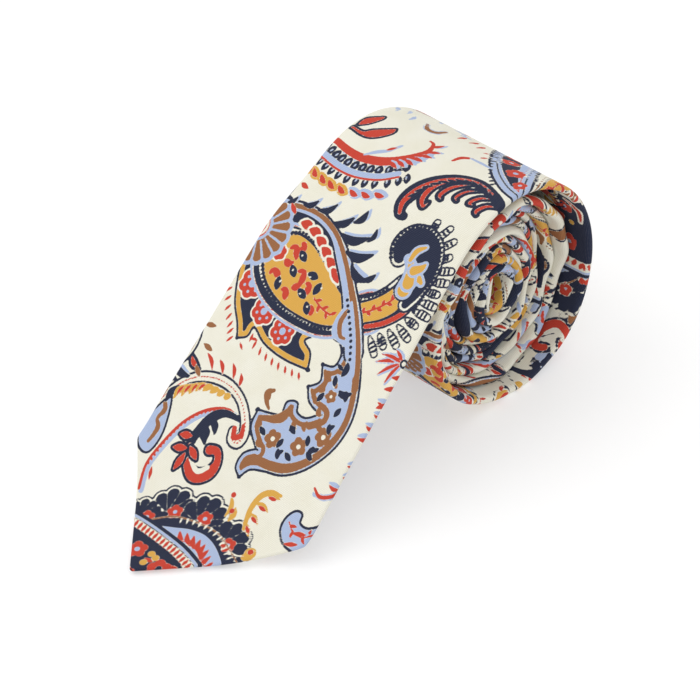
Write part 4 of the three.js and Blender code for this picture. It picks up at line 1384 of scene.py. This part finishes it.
stands_for = {
    blade_free: "blade_shell_free_end",
    blade_rolled: "blade_shell_rolled",
    neck: "neck_shell",
    tail: "tail_shell",
    wool_free: "blade_interlining_free_end",
    wool_rolled: "blade_interlining_rolled",
    wool_tail: "tail_interlining",
    tipping: "blade_tipping",
    tail_tipping: "tail_tipping",
    slip_free: "slip_stitch_free_end",
    slip_rolled: "slip_stitch_rolled",
    blade_tack: "blade_bar_tack",
    tail_tack: "tail_bar_tack",
    neck_stitches: "neck_seam_thread",
    tail_stitches: "tail_seam_thread",
    keeper_loop: "keeper_loop",
    keeper_near: "keeper_stitch_near",
    keeper_far: "keeper_stitch_far",
}
bending = (blade_free, wool_free, slip_free, tipping)
for obj, cad_node in stands_for.items():
    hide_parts(cad_node)
    if obj in bending:
        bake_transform(obj)
    else:
        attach(obj, "blade_end" if obj is blade_tack else "roll")
print(len(stands_for), "pieces joined,", len(bending), "of them bend")

# %% [markdown]
# ## Flat sizes
# The size each cloth piece was cut to is worked out and printed. The shell is cut as wide as the whole
# way round the tube, twice the tie's width and the hems, and its area is added up row by row because the
# piece isn't a rectangle.

# %% Sheets
def cut_size(width_of, start, end):
    """Greatest width, length and area in metres of a piece whose width changes along the tie."""
    s = np.linspace(start, end, 400)
    widths = width_of(s)
    area = np.sum((widths[1:] + widths[:-1]) / 2 * np.diff(s))
    return (widths.max() * MM, (end - start) * MM), area * MM * MM


def shell_width(s):
    """Twice the way from the middle of the front, round the fold and back to the end of the turned
    hem."""
    return 2 * tube_section(s, np.full(len(s), 3), np.ones(len(s)))[2]


def lining_width(s):
    return 2 * (half_width(s) - LINING_INSET)


sheets = [
    (blade_free, shell_width, 0, SPLIT_S, "folded", "blade_cloth_rolled"),
    (blade_rolled, shell_width, SPLIT_S, NECK_SEAM, "folded", "neck_cloth"),
    (neck, shell_width, NECK_SEAM, TAIL_SEAM, "folded", "tail_cloth"),
    (tail, shell_width, TAIL_SEAM, TAIL_END, "folded", "interlining_tail"),
    (wool_free, lining_width, LINING_START, SPLIT_S, "laid", "blade_cloth_free_end"),
    (wool_rolled, lining_width, SPLIT_S, TAIL_SEAM, "laid", "blade_cloth_rolled"),
    (wool_tail, lining_width, TAIL_SEAM, TAIL_END - LINING_START, "laid", "tail_cloth"),
    (tipping, lining_width, LINING_START, BLADE_TIPPING_END, "laid", "blade_cloth_free_end"),
    (tail_tipping, lining_width, TAIL_END - TAIL_TIPPING_END, TAIL_END - LINING_START, "laid",
     "tail_cloth"),
]
for obj, width_of, start, end, held, on in sheets:
    flat, area = cut_size(width_of, start, end)
    print(f"{obj.name}: {flat[0] * 1000:.0f} x {flat[1] * 1000:.0f} mm, {area * 1e4:.0f} square cm")

# %% [markdown]
# ## Camera
# The camera stands about 0.77 m away, looks down at 39 degrees from the near end of the roll, and
# is turned a little about its own axis. A long lens at that distance gives the gentle perspective
# of a product picture.

# %% Camera
AZIMUTH, ELEVATION, ROLL = math.radians(49.47), math.radians(39.22), math.radians(-6.67)
DISTANCE = 0.765
LENS = 128.6
TARGET = Vector((0, -0.04, 0.03))
SHIFT_ACROSS, SHIFT_UP = 0.0009, -0.0157
back = Vector(
    (
        math.sin(AZIMUTH) * math.cos(ELEVATION),
        -math.cos(AZIMUTH) * math.cos(ELEVATION),
        math.sin(ELEVATION),
    )
)
level = Vector((math.cos(AZIMUTH), math.sin(AZIMUTH), 0))
upright = back.cross(level)
across = level * math.cos(ROLL) + upright * math.sin(ROLL)
up = upright * math.cos(ROLL) - level * math.sin(ROLL)
camera = bpy.data.objects.new("camera", bpy.data.cameras.new("camera"))
bpy.context.collection.objects.link(camera)
turned = Matrix((across, up, back)).transposed().to_4x4()
camera.matrix_world = Matrix.Translation(TARGET + back * DISTANCE) @ turned
camera.data.lens = LENS
camera.data.shift_x = SHIFT_ACROSS
camera.data.shift_y = SHIFT_UP
bpy.context.scene.camera = camera
print("camera at", [round(c, 3) for c in camera.location])

# %% [markdown]
# ## Floor and light
# Small products are often photographed in a light tent, on a sheet of opal acrylic that is lit from
# below, so that shadows almost vanish. The floor glows a little and the sky is an even white. One
# large, weak lamp from the upper left shapes the folds. The plain sRGB view keeps white cloth and
# white floor as bright as they are.

# %% Floor and light
FLOOR_GLOW, SKY_GLOW = 0.45, 0.97
bpy.ops.mesh.primitive_plane_add(size=6)
floor = bpy.context.object
floor.name = "floor"
opal, opal_shader = fabric("opal_acrylic", "#C4C4C4", 0.6, 0)
opal_shader.inputs["Emission Color"].default_value = srgb("#FFFFFF")
opal_shader.inputs["Emission Strength"].default_value = FLOOR_GLOW
floor.data.materials.append(opal)

world = bpy.data.worlds.new("light_tent")
world.use_nodes = True
world.node_tree.nodes["Background"].inputs["Color"].default_value = (1, 1, 1, 1)
world.node_tree.nodes["Background"].inputs["Strength"].default_value = SKY_GLOW
bpy.context.scene.world = world
bpy.context.scene.view_settings.view_transform = "Standard"

lamp = bpy.data.objects.new("soft_box", bpy.data.lights.new("soft_box", "AREA"))
lamp.data.energy = 3.5
lamp.data.size = 0.9
bpy.context.collection.objects.link(lamp)
lamp.location = (-0.5, -0.5, 0.95)
lamp.rotation_euler = (TARGET - lamp.location).to_track_quat("-Z", "Y").to_euler()
